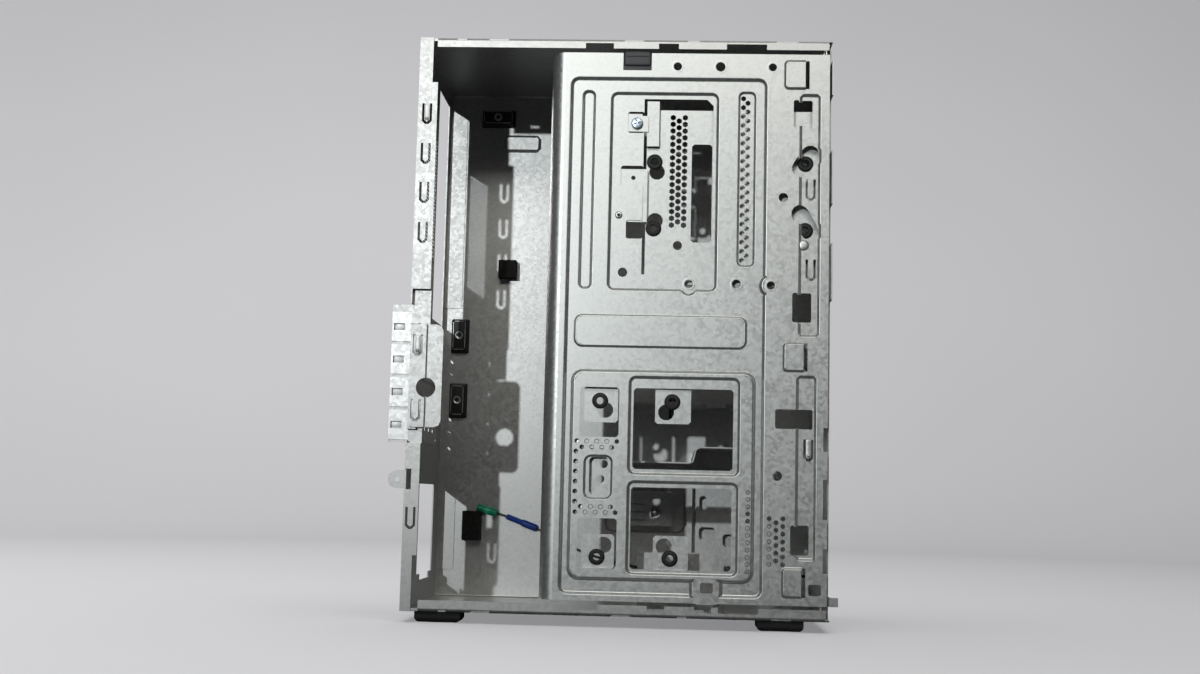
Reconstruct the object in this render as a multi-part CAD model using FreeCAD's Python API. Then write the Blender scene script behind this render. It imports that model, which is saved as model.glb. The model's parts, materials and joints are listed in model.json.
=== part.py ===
import FreeCAD
import Part
import math
import os

from FreeCAD import Vector

# Bare sheet-steel tower chassis with its side cover off.
# Case axes while modelling: x from the rear face to the front, y from the open rim into the case,
# z up from the outside of the bottom. Pieces move to the part's own frame when they are written.

# Overall sizes in millimetres
BOX_LENGTH = 257.5
BOX_HEIGHT = 357.5
BOX_WIDTH = 134.0
SHEET = 0.8
FINE_CORNER = 4.0
HOLE_SIDES = 12
VENT_SIDES = 6
RIVET_SIDES = 8
CORNER_RADIUS = 2.0
TOP_LIP = 6.0
BOTTOM_LIP = 7.0
LIP_START = 11.0
FRONT_GAP = 1.5
RUNNING = 0.06
AIR = 0.4

# Feet
FOOT_HEIGHT = 6.5
FOOT_LENGTH = 28.0
FOOT_WIDTH = 20.0
FOOT_ROUND = 3.0
FOOT_INSET = 4.0
REAR_FOOT_X = 8.5
FRONT_FOOT_X = 216.0

# Rim cut-outs: start and length along x
TOP_NOTCHES = ((23.0, 6.4), (43.3, 12.6), (129.0, 12.0), (168.6, 7.5), (224.0, 13.8))
BOTTOM_NOTCHES = ((22.3, 5.6), (42.4, 12.2), (127.7, 12.0), (167.3, 6.0), (223.5, 12.5))
TOP_CUTS = ((104.6, 17.6), (150.5, 12.5), (193.0, 25.0))
BOTTOM_CUTS = ((104.0, 15.7), (149.8, 10.2), (178.0, 10.2), (192.4, 23.9))
NOTCH_DEPTH = 1.4
NOTCH_REACH = 3.0
CUT_DEPTH = 3.4

# Board stand-offs on the closed side, on the standard board hole pattern
BOARD_HOLE_X = 12.7
BOARD_TOP_OFFSET = 22.86
BOARD_COLUMNS = (0.0, 154.94)
BOARD_TOP_DROP = 17.6
BOARD_ROWS = (0.0, 157.48, 203.2)
STANDOFF_HEIGHT = 6.7
STANDOFF_SIZE = (11.4, 23.0)
STANDOFF_HOLE = 1.6
STANDOFF_SLOPE = 0.3
PAD_RECT = (40.0, 66.0, 29.5, 41.5)
PAD_HEIGHT = 2.0
PAD_HOLE = (59.5, 36.2, 1.2)
RECESS_RECT = (118.0, 174.0, 47.5, 78.0)
RECESS_DEPTH = 1.5
STOP_TAB = (143.0, 197.0, 35.0, 37.5)

# Rear panel
IO_OPENING = (80.2, 44.45, 10.5, 158.75)
SUPPLY_OPENING = (53.0, 60.0, 19.0, 58.4)
VENT_OPENING = (24.0, 50.0, 48.0, 82.0)
SCREEN_MARGIN = 2.5
SCREEN_SHEET = 0.5
RIM_TOP_DROP = 29.0
RIM_WIDTHS = ((33.7, 6.5), (101.0, 9.2), (198.0, 0.0), (BOX_HEIGHT - RIM_TOP_DROP, 12.0), (BOX_HEIGHT, 8.5))
FINGER_HEIGHTS = (49.4, 225.8, 251.1, 276.0, 301.5)
FINGER_SIZE = (6.3, 13.4)
FINGER_SLIT = 1.5
FINGER_X = 2.6
SLOT_PITCH = 20.32
SLOT_COUNT = 4
SLOT_TOP_Z = 174.1
SLOT_HEIGHT = 13.0
SLOT_DEPTH = 100.0
SLOT_START = 4.0
LEDGE_LEVEL = 7.8
LEDGE_REACH = 12.3
LEDGE_MARGIN = 12.5
LEDGE_HOLE = (4.2, 6.9, 4.4)
COVER_WIDTH = 18.4
COVER_LENGTH = 113.0
COVER_TIP = 8.0
COVER_TIP_WIDTH = 10.0
COVER_HOLE = 1.8
COVER_HOLES = 5
COVER_HOLE_PITCH = 16.0
STEP_LEVEL = 4.0
EYE_Z = 79.5
EYE_RADIUS = 5.6
EYE_HOLE = 1.6
EYE_REACH = 5.3
EYE_LEVEL = 4.4
FLOOR_FLANGE = 13.0
RIVET_RADIUS = 2.4
RIVET_HEIGHT = 0.9

# Card retainer, hinged beside the slots
RETAINER_BOTTOM = 111.6
RETAINER_HEIGHT = 63.4
RETAINER_OUTER = (0.6, 10.5)
RETAINER_GROOVE = 2.4
RETAINER_INNER = (11.7, 21.0)
RETAINER_HEM = 1.8
RETAINER_AXIS = (3.0, 3.4)
RETAINER_PIN = 1.0
RETAINER_EAR = 5.4
RETAINER_HOLE = (11.1, 24.3, 6.1)
RETAINER_FINGERS = (3.4, 43.6)

# Front panel
FRONT_EDGE = 16.0
FRONT_TAB_EDGE = 3.0
FRONT_TABS = ((33.5, 22.0), (102.5, 34.0), (162.5, 35.5))
FRONT_HOOK_Z = (9.0, 5.4)
FRONT_HOOK = 4.5
FRONT_FLANGE = 84.0
FRONT_FLANGE_Z = (26.0, 64.0)
FLANGE_STANDOFF = 8.0
FLANGE_SLOT = (3.4, 2.7, 9.0, 49.0)
FLANGE_HOLES = ((8.3, 37.4, 5.0, 10.4), (8.3, 18.0, 11.0, 8.4), (24.7, 13.6, 7.0, 8.4))
GRILLE_SLOTS = 9
GRILLE_PITCH = 14.0
GRILLE_SLOT = (52.0, 34.0, 5.0)
GRILLE_DROP = 207.5
FRONT_IO = (40.0, 62.0, 57.5, 18.0)
BUTTON_HOLE = (71.0, 23.5, 8.0)
LEAD_HOLE = 2.6

# Drive bracket: u runs from its rear edge, v up from its lower edge
BRACKET_WIDTH = 174.1
PATTERN_WIDTH = 174.1
PATTERN_HEIGHT = 340.6
BRACKET_LOW = 9.0
BRACKET_TOP_GAP = 7.9
BRACKET_LEVEL = 3.0
BRACKET_ROLL = 8.6
BRACKET_REAR_FLANGE = 13.0
BRACKET_END_FLANGE = 7.0
BRACKET_END_MARGIN = 12.0
EMBOSS_SLOPE = 1.0
FIELD_DEPTH = 1.6
FRAME_DEPTH = 1.4
LANCE_HEIGHT = 1.2
TAB_LEVEL = 7.5
TAB_MARGINS = ((9.7, 11.2, 13.25, 9.15, 8.35, 0), (10.45, 11.55, 13.45, 8.95, 8.15, 1),
               (9.6, 10.6, 7.2, 13.8, -7.4, 0), (10.25, 11.25, 7.6, 13.7, -7.6, 1))
PIVOT_FROM_EDGE = 3.3
PIVOT_LEVEL = 5.6
PIVOT_RADIUS = 1.5
PIVOT_BASE = 3.4
PIVOT_BASE_HEIGHT = 1.2
GROMMET_RADIUS = 5.0
GROMMET_NECK = 3.5
GROMMET_BORE = 2.2
GROMMET_LIP = 1.0
DRIVE_ROW = 44.45
DRIVE_SPAN = 95.25
PERFORATION = 1.55
COLUMN_PERFORATION = 1.75

# Drive deck under the bracket
DECK_LEVEL = 11.0
DECK_LEFT = 60.6
DECK_LOW = 195.0
DECK_TOP_GAP = 34.6
DECK_HOLE_PITCH = 4.3
DECK_PERFORATION = 1.9
DECK_FIRST_HOLE = (65.7, 68.0)
DECK_SPAN = 94.4
DECK_ROW = 42.4
DECK_LOBES = ((1.6, -6.3), (0.9, 5.0))
SCREW_SPOT = (54.3, 44.7)
SCREW_HEAD = 3.6
SHANK = 1.5
RIVET_SPOT = (44.0, 103.1)

# Latch
LATCH_X = (44.9, 17.9)
LATCH_DEPTH = 11.1
LATCH_TRAVEL = 2.5
LATCH_PLATE = 2.4
LATCH_GRIP = 3.0

# Inside the case
SHELF_Y = 60.0
SHELF_LOW = 94.3
SHELF_STEP = 10.2
UPPER_SHELF = 133.4
SHELF_X = (126.0, 214.0)
SHELF_FOOT = 9.0
SHELF_LIP = (185.0, 198.0, 2.8)
FOAM_HEIGHT = 8.0
FOAM_UPPER = (39.2, 12.4, 224.0, 12.4)
FOAM_LOWER = (19.4, 12.6, 39.6, 20.0)
CLIP_RISE = 4.2
RIB_HEIGHT = 0.8
CLIP_HOLE = (152.9, 62.0)
CLIP_RIVET = 3.0
CLIP_RIVET_HEIGHT = 2.2
WIRE_RADIUS = 0.8
SLEEVE_RADIUS = 2.0
FREE_SLEEVE = (0.0, 14.6)
MIDDLE_SLEEVE = (21.6, 44.0)

# Values worked out from the sizes above
FLOOR = BOX_WIDTH - SHEET
FRONT_WALL = BOX_LENGTH + FRONT_GAP
BRACKET_LEFT = BOX_LENGTH - BRACKET_WIDTH
BRACKET_HEIGHT = BOX_HEIGHT - BRACKET_TOP_GAP - BRACKET_LOW
PIVOT_U = BRACKET_WIDTH - PIVOT_FROM_EDGE
REACH_REAR = LEDGE_REACH
REACH_FRONT = FRONT_WALL + SHEET + FRONT_HOOK
REACH_SIDE = BOX_WIDTH + RECESS_DEPTH


def box(x0, x1, y0, y1, z0, z1):
    return Part.makeBox(x1 - x0, y1 - y0, z1 - z0, Vector(x0, y0, z0))


def drill(x, z, radius, y0, y1):
    return Part.makeCylinder(radius, y1 - y0, Vector(x, y0, z), Vector(0, 1, 0))


def drill_z(x, y, radius, z0, z1):
    return Part.makeCylinder(radius, z1 - z0, Vector(x, y, z0), Vector(0, 0, 1))


def prism(points, start, length):
    """Extrude a closed outline of 3-D points, shifted by start, along length."""
    corners = [start + point for point in points]
    return Part.Face(Part.makePolygon(corners + corners[:1])).extrude(length)


def prism_xz(points, y0, y1):
    return prism([Vector(x, 0, z) for x, z in points], Vector(0, y0, 0), Vector(0, y1 - y0, 0))


def prism_xy(points, z0, z1):
    return prism([Vector(x, y, 0) for x, y in points], Vector(0, 0, z0), Vector(0, 0, z1 - z0))


def prism_yz(points, x0, x1):
    return prism([Vector(0, y, z) for y, z in points], Vector(x0, 0, 0), Vector(x1 - x0, 0, 0))


def folded(points, thickness):
    """Closed outline of a folded sheet: one side's corners, then the other side offset to the left."""
    normals = []
    for (ax, ay), (bx, by) in zip(points, points[1:]):
        length = math.hypot(bx - ax, by - ay)
        normals.append(((ay - by) / length, (bx - ax) / length))
    offset = []
    for index, (px, py) in enumerate(points):
        before = normals[max(index - 1, 0)]
        after = normals[min(index, len(normals) - 1)]
        share = thickness / (1 + before[0] * after[0] + before[1] * after[1])
        offset.append((px + share * (before[0] + after[0]), py + share * (before[1] + after[1])))
    return list(points) + offset[::-1]


def ring(u, v, radius, sides):
    """Corners of a regular outline around a centre, the first one half a step up from the first axis."""
    turns = [2 * math.pi * (step + 0.5) / sides for step in range(sides)]
    return [(u + radius * math.cos(turn), v + radius * math.sin(turn)) for turn in turns]


def punch(x, z, radius, y0, y1):
    """Plain clearance hole, made with flat sides."""
    return prism_xz(ring(x, z, radius, HOLE_SIDES), y0, y1)


def corner_points(rect, radius, y, turns):
    """Outline of a rectangle in the plane of constant y, its corners turned in flat steps."""
    x0, x1, z0, z1 = rect
    r = max(0.2, min(radius, 0.49 * (x1 - x0), 0.49 * (z1 - z0)))
    centres = ((x1 - r, z0 + r, -90), (x1 - r, z1 - r, 0), (x0 + r, z1 - r, 90), (x0 + r, z0 + r, 180))
    points = []
    for cx, cz, start in centres:
        for turn in turns:
            angle = math.radians(start + turn)
            points.append(Vector(cx + r * math.cos(angle), y, cz + r * math.sin(angle)))
    return points


def corner_turns(radius):
    return (0, 90) if radius < FINE_CORNER else (0, 45, 90)


def flat_face(points):
    return Part.Face(Part.makePolygon(points + points[:1]))


def rounded_slab(rect, radius, y0, y1):
    outline = corner_points(rect, radius, y0, corner_turns(radius))
    return flat_face(outline).extrude(Vector(0, y1 - y0, 0))


def grown(rect, amount):
    x0, x1, z0, z1 = rect
    return (x0 - amount, x1 + amount, z0 - amount, z1 + amount)


def solid_between(first, last):
    """Solid with flat walls between two outlines of as many corners."""
    faces = [flat_face(first), flat_face(last)]
    for index in range(len(first)):
        following = (index + 1) % len(first)
        faces.append(flat_face([first[index], first[following], last[following], last[index]]))
    solid = Part.Solid(Part.Shell(faces))
    if solid.Volume < 0:
        solid.reverse()
    return solid


def frustum(rect, radius, y0, grow0, y1, grow1):
    """Flat-walled solid between two rectangles with turned corners."""
    turns = corner_turns(radius)
    first = corner_points(grown(rect, grow0), radius + grow0, y0, turns)
    last = corner_points(grown(rect, grow1), radius + grow1, y1, turns)
    return solid_between(first, last)


def emboss(sheet, rects, level, depth, slope=EMBOSS_SLOPE):
    """Press rounded rectangles out of a sheet whose open face is at level; depth points into the case."""
    skin = SHEET * math.hypot(1, slope)
    side = 1 if depth > 0 else -1
    face = level if depth > 0 else level + SHEET
    reach = abs(depth)
    walls = []
    pockets = []
    for rect, radius in rects:
        walls.append(frustum(rect, radius, level + SHEET / 2, skin - slope * SHEET / 2,
                             face + side * (reach + SHEET), skin - slope * (reach + SHEET)))
        pockets.append(frustum(rect, radius, face - side * SHEET, slope * SHEET,
                               face + side * reach, -slope * reach))
    return sheet.fuse(walls).cut(pockets)


def finger_cut(x, z, y0, y1):
    """U-shaped slit that frees a spring finger held at its upper end."""
    width, height = FINGER_SIZE
    slit = FINGER_SLIT
    turn = width / 3
    tight = turn - slit / 2
    end = x + width
    outline = ((x, z + turn), (x + turn, z), (end - turn, z), (end, z + turn), (end, z + height),
               (end - slit, z + height), (end - slit, z + slit + tight), (end - slit - tight, z + slit),
               (x + slit + tight, z + slit), (x + slit, z + slit + tight),
               (x + slit, z + height), (x, z + height))
    return prism_xz(outline, y0, y1)


def slanted_slot(x0, z0, x1, z1, radius, y0, y1):
    """Round-ended slot between two centres."""
    length = math.hypot(x1 - x0, z1 - z0)
    px, pz = -(z1 - z0) / length * radius, (x1 - x0) / length * radius
    sides = ((x0 + px, z0 + pz), (x0 - px, z0 - pz), (x1 - px, z1 - pz), (x1 + px, z1 + pz))
    middle = prism_xz(sides, y0, y1)
    return middle.fuse([punch(x0, z0, radius, y0, y1), punch(x1, z1, radius, y0, y1)])


def round_edges(solid, radius, wanted):
    return solid.makeFillet(radius, [edge for edge in solid.Edges if wanted(edge)])


def along(edge, direction):
    first, last = edge.Vertexes[0].Point, edge.Vertexes[-1].Point
    return abs((last - first).normalize().dot(direction)) > 0.999


def board_holes():
    """Centres of the board's fixing holes on the closed side."""
    spots = []
    for column in BOARD_COLUMNS:
        for row in BOARD_ROWS:
            inward = BOARD_TOP_OFFSET if column == 0 and row == 0 else 0.0
            spots.append((BOARD_HOLE_X + column + inward, BOX_HEIGHT - BOARD_TOP_DROP - row))
    return spots


def from_top(rect):
    """Turn a rectangle measured down from the top of the box into one measured up from the bottom."""
    x0, x1, low, high = rect
    return (x0, x1, BOX_HEIGHT - high, BOX_HEIGHT - low)


def main_shell():
    length = FRONT_WALL - SHEET
    outer = Part.makeBox(length, BOX_WIDTH, BOX_HEIGHT, Vector(SHEET, 0, 0))
    outer = round_edges(outer, CORNER_RADIUS, lambda edge: along(edge, Vector(1, 0, 0)))
    inner = Part.makeBox(length + 2, BOX_WIDTH - 2 * SHEET, BOX_HEIGHT - 2 * SHEET, Vector(0, SHEET, SHEET))
    inner = round_edges(inner, CORNER_RADIUS - SHEET, lambda edge: along(edge, Vector(1, 0, 0)))
    top = BOX_HEIGHT - TOP_LIP
    end = FRONT_WALL + 1
    tools = [inner, box(0, end, -1, SHEET + 1, BOTTOM_LIP, top)]
    tools.append(box(0, LIP_START, -1, SHEET, -1, BOX_HEIGHT + 1))
    tools.append(box(BOX_LENGTH - SHEET, end, -1, FRONT_EDGE, SHEET, BOX_HEIGHT - SHEET))
    for start, size in TOP_NOTCHES:
        tools.append(box(start, start + size, -1, NOTCH_REACH, BOX_HEIGHT - NOTCH_DEPTH, BOX_HEIGHT + 1))
    for start, size in BOTTOM_NOTCHES:
        tools.append(box(start, start + size, -1, NOTCH_REACH, -1, NOTCH_DEPTH))
    for start, size in TOP_CUTS:
        tools.append(box(start, start + size, -1, SHEET, top - 1, top + CUT_DEPTH))
    for start, size in BOTTOM_CUTS:
        tools.append(box(start, start + size, -1, SHEET, BOTTOM_LIP - CUT_DEPTH, BOTTOM_LIP + 1))
    shell = outer.cut(tools)
    width, height = STANDOFF_SIZE
    bosses = []
    for x, z in board_holes():
        half_x, half_z = width / 2, height / 2
        if z > BOX_HEIGHT - 2 * BOARD_TOP_DROP:
            half_x, half_z = half_z, half_x
        bosses.append(((x - half_x, x + half_x, z - half_z, z + half_z), 2.5))
    shell = emboss(shell, bosses, FLOOR, -STANDOFF_HEIGHT, STANDOFF_SLOPE)
    shell = emboss(shell, [(from_top(PAD_RECT), 2.5)], FLOOR, -PAD_HEIGHT)
    shell = emboss(shell, [(RECESS_RECT, 5.0)], FLOOR, RECESS_DEPTH)
    x0, x1, y, height = STOP_TAB
    shell = shell.fuse(box(x0, x1, y, y + SHEET, SHEET / 2, height))
    above = FLOOR - STANDOFF_HEIGHT - 1
    through = [drill(x, z, STANDOFF_HOLE, above, BOX_WIDTH + 1) for x, z in board_holes()]
    x, drop, radius = PAD_HOLE
    through.append(drill(x, BOX_HEIGHT - drop, radius, FLOOR - PAD_HEIGHT - 1, BOX_WIDTH + 1))
    return shell.cut(through)


def slot_z(index):
    return SLOT_TOP_Z - SLOT_PITCH * index


def ledge_span():
    return slot_z(SLOT_COUNT - 1) - LEDGE_MARGIN + 1.7, SLOT_TOP_Z + LEDGE_MARGIN + 1.4


def rim_flange():
    """Stepped rim of the rear panel, one outline from the bottom to the top."""
    pieces = []
    low = 0.0
    for high, width in RIM_WIDTHS:
        if width > 0:
            pieces.append(box(0, width, 0, SHEET, low, high))
        low = high
    return pieces


def vent_rect():
    """Edges of the rear vent across and up."""
    y, width, drop, height = VENT_OPENING
    return y, y + width, BOX_HEIGHT - drop - height, BOX_HEIGHT - drop


def vent_screen():
    """Thin perforated sheet fixed inside the vent, kept plain here."""
    y0, y1, z0, z1 = vent_rect()
    edge = SCREEN_MARGIN
    return box(SHEET, SHEET + SCREEN_SHEET, y0 - edge, y1 + edge, z0 - edge, z1 + edge)


def rear_panel():
    low, high = ledge_span()
    wall = Part.makeBox(SHEET, BOX_WIDTH, BOX_HEIGHT)
    inward = Vector(1, 0, 0)
    wall = round_edges(wall, CORNER_RADIUS, lambda edge: along(edge, inward) and edge.CenterOfMass.y > 1)
    wall = wall.cut(box(-1, SHEET + 1, -1, LEDGE_LEVEL, low, high))
    pieces = rim_flange()
    pieces.append(box(-LEDGE_REACH, SHEET, LEDGE_LEVEL, LEDGE_LEVEL + SHEET, low, high))
    step_low, step_high = RIM_WIDTHS[1][0], RIM_WIDTHS[2][0]
    lower_end = RETAINER_BOTTOM - AIR
    upper_start = RETAINER_BOTTOM + RETAINER_HEIGHT + AIR
    inner_edge = RIM_WIDTHS[3][1]
    pieces.append(box(SHEET / 2, inner_edge, STEP_LEVEL, STEP_LEVEL + SHEET, upper_start, step_high))
    pieces.append(box(SHEET / 2, inner_edge, 0, STEP_LEVEL + SHEET, step_high - SHEET, step_high))
    pieces.append(box(0, RIM_WIDTHS[1][1], 0, STEP_LEVEL + SHEET, step_low, step_low + SHEET))
    pieces.append(box(0, SHEET, 0, LEDGE_LEVEL, step_low, low + 1))
    pieces.append(box(SHEET / 2, RIM_WIDTHS[1][1], STEP_LEVEL, STEP_LEVEL + SHEET, step_low, lower_end))
    ear_depth = LEDGE_LEVEL - SHEET - AIR
    reach = RETAINER_AXIS[0] + 2.6
    for z in (lower_end - SHEET, upper_start):
        pieces.append(box(0, reach, RETAINER_AXIS[1] - 2.6, ear_depth, z, z + SHEET))
    eye_back = EYE_LEVEL + SHEET
    pieces.append(prism_xz(ring(-EYE_REACH, EYE_Z, EYE_RADIUS, 2 * HOLE_SIDES), EYE_LEVEL, eye_back))
    pieces.append(box(-EYE_REACH, SHEET, EYE_LEVEL, eye_back, EYE_Z - EYE_RADIUS, EYE_Z + EYE_RADIUS))
    io_y, io_w, io_drop, io_h = IO_OPENING
    io_top = BOX_HEIGHT - io_drop
    supply_y, supply_w, supply_z, supply_h = SUPPLY_OPENING
    flange = (FLOOR - SHEET, FLOOR)
    pieces.append(box(SHEET / 2, FLOOR_FLANGE, *flange, io_top - io_h + 14, io_top + 3))
    pieces.append(box(SHEET / 2, FLOOR_FLANGE, *flange, supply_z, supply_z + supply_h))
    panel = wall.fuse(pieces)
    cuts = [box(-1, SHEET, io_y, io_y + io_w, io_top - io_h, io_top)]
    cuts.append(box(-1, SHEET, supply_y, supply_y + supply_w, supply_z, supply_z + supply_h))
    cuts.append(box(-1, SHEET, supply_y + 12, supply_y + supply_w - 12, supply_z - 4, supply_z + 1))
    for index in range(SLOT_COUNT):
        middle = slot_z(index)
        start = LEDGE_LEVEL + SLOT_START
        low_edge, high_edge = middle - SLOT_HEIGHT / 2, middle + SLOT_HEIGHT / 2
        cuts.append(box(-1, SHEET, start, start + SLOT_DEPTH, low_edge, high_edge))
        back, long, tall = LEDGE_HOLE
        cuts.append(box(-back - long, -back, LEDGE_LEVEL - 1, LEDGE_LEVEL + SHEET + 1,
                        middle - tall / 2, middle + tall / 2))
    vent = vent_rect()
    cuts.append(box(-1, SHEET + 1, *vent))
    for z in FINGER_HEIGHTS:
        x = FINGER_X if z > step_high else FINGER_X - 1.2
        cuts.append(finger_cut(x, z, -1, SHEET + 1))
    cuts.append(box(-1, RIM_WIDTHS[1][1] - 5, -1, SHEET + 1, EYE_Z - 6, EYE_Z + 6.5))
    cuts.append(punch(-EYE_REACH, EYE_Z, EYE_HOLE, EYE_LEVEL - 1, EYE_LEVEL + SHEET + 1))
    pin_x, pin_y = RETAINER_AXIS
    cuts.append(drill_z(pin_x, pin_y, RETAINER_PIN, lower_end - SHEET, upper_start + SHEET))
    return panel.cut(cuts)


def slot_cover(index):
    """Blank plate of one card slot: tab over the ledge, vented strip inside the wall, narrow tip."""
    middle = slot_z(index)
    half = COVER_WIDTH / 2
    top = LEDGE_LEVEL - SHEET
    outline = folded(((SHEET, COVER_LENGTH), (SHEET, LEDGE_LEVEL), (-LEDGE_REACH, LEDGE_LEVEL)), SHEET)
    cover = prism_xy(outline, middle - half, middle + half)
    back, long, tall = LEDGE_HOLE
    cuts = [box(-back - long, -back, top - 1, LEDGE_LEVEL + 1, middle - tall / 2, middle + tall / 2)]
    for side in (-1, 1):
        edge = middle + side * (COVER_TIP_WIDTH + COVER_WIDTH) / 2
        cuts.append(box(0, 2 * SHEET + 1, COVER_LENGTH - COVER_TIP, COVER_LENGTH + 1,
                        edge - COVER_WIDTH / 2, edge + COVER_WIDTH / 2))
    for step in range(COVER_HOLES):
        y = LEDGE_LEVEL + SLOT_START + COVER_HOLE_PITCH * (step + 1)
        cuts.append(prism_yz(ring(y, middle, COVER_HOLE, VENT_SIDES), 0, 2 * SHEET + 1))
    return cover.cut(cuts)


def card_retainer():
    low, high = RETAINER_BOTTOM, RETAINER_BOTTOM + RETAINER_HEIGHT
    x0, x1 = RETAINER_OUTER
    x2, x3 = RETAINER_INNER
    deep = RETAINER_GROOVE
    groove = ((x1 + 0.2, deep), (x2 - 0.2, deep))
    path = ((x0, 0), (x1, 0), *groove, (x2, 0), (x3, 0), (x3, RETAINER_HEM))
    retainer = prism_xy(folded(path, SHEET), low, high)
    corner = 4.0
    square = box(x3 - corner, x3 + 1, -1, 4, low, high)
    keep = rounded_slab((x0 - corner, x3, low, high), corner, -1, 4)
    retainer = retainer.cut(square.cut(keep))
    pin_x, pin_y = RETAINER_AXIS
    ears = []
    for z in (low, high - SHEET):
        ears.append(box(x0, pin_x + 2.4, SHEET / 2, RETAINER_EAR, z, z + SHEET))
    retainer = retainer.fuse(ears)
    hole_x, hole_z, radius = RETAINER_HOLE
    cuts = [prism_xz(ring(hole_x, low + hole_z, radius, 2 * HOLE_SIDES), -1, deep + 2)]
    cuts.append(drill_z(pin_x, pin_y, RETAINER_PIN + RUNNING, low - 1, high + 1))
    for offset in RETAINER_FINGERS:
        cuts.append(finger_cut(FINGER_X - 0.4, low + offset, -1, SHEET + 0.2))
    return retainer.cut(cuts)


def retainer_pins():
    pin_x, pin_y = RETAINER_AXIS
    low, high = RETAINER_BOTTOM, RETAINER_BOTTOM + RETAINER_HEIGHT
    reach = AIR + SHEET
    inner = 2 * SHEET
    return [drill_z(pin_x, pin_y, RETAINER_PIN, low - reach, low + inner),
            drill_z(pin_x, pin_y, RETAINER_PIN, high - inner, high + reach)]


def front_panel():
    x0, x1 = FRONT_WALL, FRONT_WALL + SHEET
    wall = Part.makeBox(SHEET, BOX_WIDTH - FRONT_EDGE, BOX_HEIGHT, Vector(x0, FRONT_EDGE, 0))
    wall = round_edges(wall, CORNER_RADIUS, lambda edge: along(edge, Vector(1, 0, 0))
                       and edge.CenterOfMass.y > FRONT_EDGE + 1)
    pieces = []
    tabs = [(BOX_HEIGHT - drop, height) for drop, height in FRONT_TABS] + [FRONT_HOOK_Z]
    for z, height in tabs:
        pieces.append(box(x0, x1, FRONT_TAB_EDGE, FRONT_EDGE + 1, z, z + height))
    z, height = FRONT_HOOK_Z
    pieces.append(box(x0, x1 + FRONT_HOOK, FRONT_TAB_EDGE, FRONT_TAB_EDGE + SHEET, z, z + height))
    z, height = FRONT_FLANGE_Z
    inner = FLOOR - FLANGE_STANDOFF
    pieces.append(box(x0 - FRONT_FLANGE, x0 + SHEET / 2, inner - SHEET, inner, z, z + height))
    panel = wall.fuse(pieces)
    cuts = []
    y, width, slot = GRILLE_SLOT
    for index in range(GRILLE_SLOTS):
        z = BOX_HEIGHT - GRILLE_DROP + GRILLE_PITCH * index
        cuts.append(box(x0 - 1, x1 + 1, y, y + width, z, z + slot))
    y, width, drop, height = FRONT_IO
    cuts.append(box(x0 - 1, x1 + 1, y, y + width, BOX_HEIGHT - drop, BOX_HEIGHT - drop + height))
    y, drop, radius = BUTTON_HOLE
    cuts.append(prism_yz(ring(y, BOX_HEIGHT - drop, radius, 2 * HOLE_SIDES), x0 - 1, x1 + 1))
    lead_end = lead_route()[-1]
    cuts.append(prism_yz(ring(lead_end.y, lead_end.z, LEAD_HOLE, HOLE_SIDES), x0 - 1, x1 + 1))
    edge = x0 - FRONT_FLANGE
    low = FRONT_FLANGE_Z[0]
    for u, v, wide, tall in FLANGE_HOLES:
        rect = (edge + u, edge + u + wide, low + v, low + v + tall)
        cuts.append(rounded_slab(rect, 1.5, inner - SHEET - 1, inner + 1))
    u, wide, v, tall = FLANGE_SLOT
    cuts.append(box(edge + u, edge + u + wide, inner - SHEET - 1, inner + 1, low + v, low + v + tall))
    return panel.cut(cuts)


def across(u):
    """Place along x of a point of the pressed pattern, which stretches with the plate's width."""
    return BRACKET_LEFT + u * BRACKET_WIDTH / PATTERN_WIDTH


def up(v):
    """Height of a point of the pressed pattern, which stretches with the plate's height."""
    return BRACKET_LOW + v * BRACKET_HEIGHT / PATTERN_HEIGHT


def down(drop):
    """Height of a point of the pressed pattern measured from the plate's upper edge."""
    return up(PATTERN_HEIGHT - drop)


def bracket_rect(u0, u1, v0, v1):
    """Rectangle of the bracket's pattern measured from its rear and lower edges."""
    return (across(u0), across(u1), up(v0), up(v1))


def upper_rect(u0, u1, drop_low, drop_high):
    """Rectangle of the bracket's pattern measured from its rear and upper edges."""
    return (across(u0), across(u1), down(drop_low), down(drop_high))


def bracket_blank():
    """Plate with its rolled rear edge and short end flanges."""
    x0, x1 = BRACKET_LEFT, BOX_LENGTH
    z0, z1 = BRACKET_LOW, BRACKET_LOW + BRACKET_HEIGHT
    y0 = BRACKET_LEVEL
    blank = box(x0, x1, y0, y0 + SHEET, z0, z1)
    blank = blank.fuse(box(x0, x0 + SHEET, y0, y0 + BRACKET_REAR_FLANGE, z0, z1)).removeSplitter()
    upright = Vector(0, 0, 1)
    blank = round_edges(blank, BRACKET_ROLL, lambda edge: along(edge, upright)
                        and abs(edge.CenterOfMass.x - x0) < 0.01 and abs(edge.CenterOfMass.y - y0) < 0.01)
    blank = round_edges(blank, BRACKET_ROLL - SHEET, lambda edge: along(edge, upright)
                        and abs(edge.CenterOfMass.x - x0 - SHEET) < 0.01
                        and abs(edge.CenterOfMass.y - y0 - SHEET) < 0.01)
    start = x0 + BRACKET_END_MARGIN
    ends = [box(start, x1, y0, y0 + BRACKET_END_FLANGE, z, z + SHEET) for z in (z0, z1 - SHEET)]
    return blank.fuse(ends)


def keyhole(x, z, lobe_x, lobe_z, y0, y1):
    seat = punch(x, z, GROMMET_NECK, y0, y1)
    if lobe_x == lobe_z == 0:
        return seat
    lobe = punch(x + lobe_x, z + lobe_z, GROMMET_RADIUS, y0, y1)
    return seat.fuse(lobe)


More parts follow.
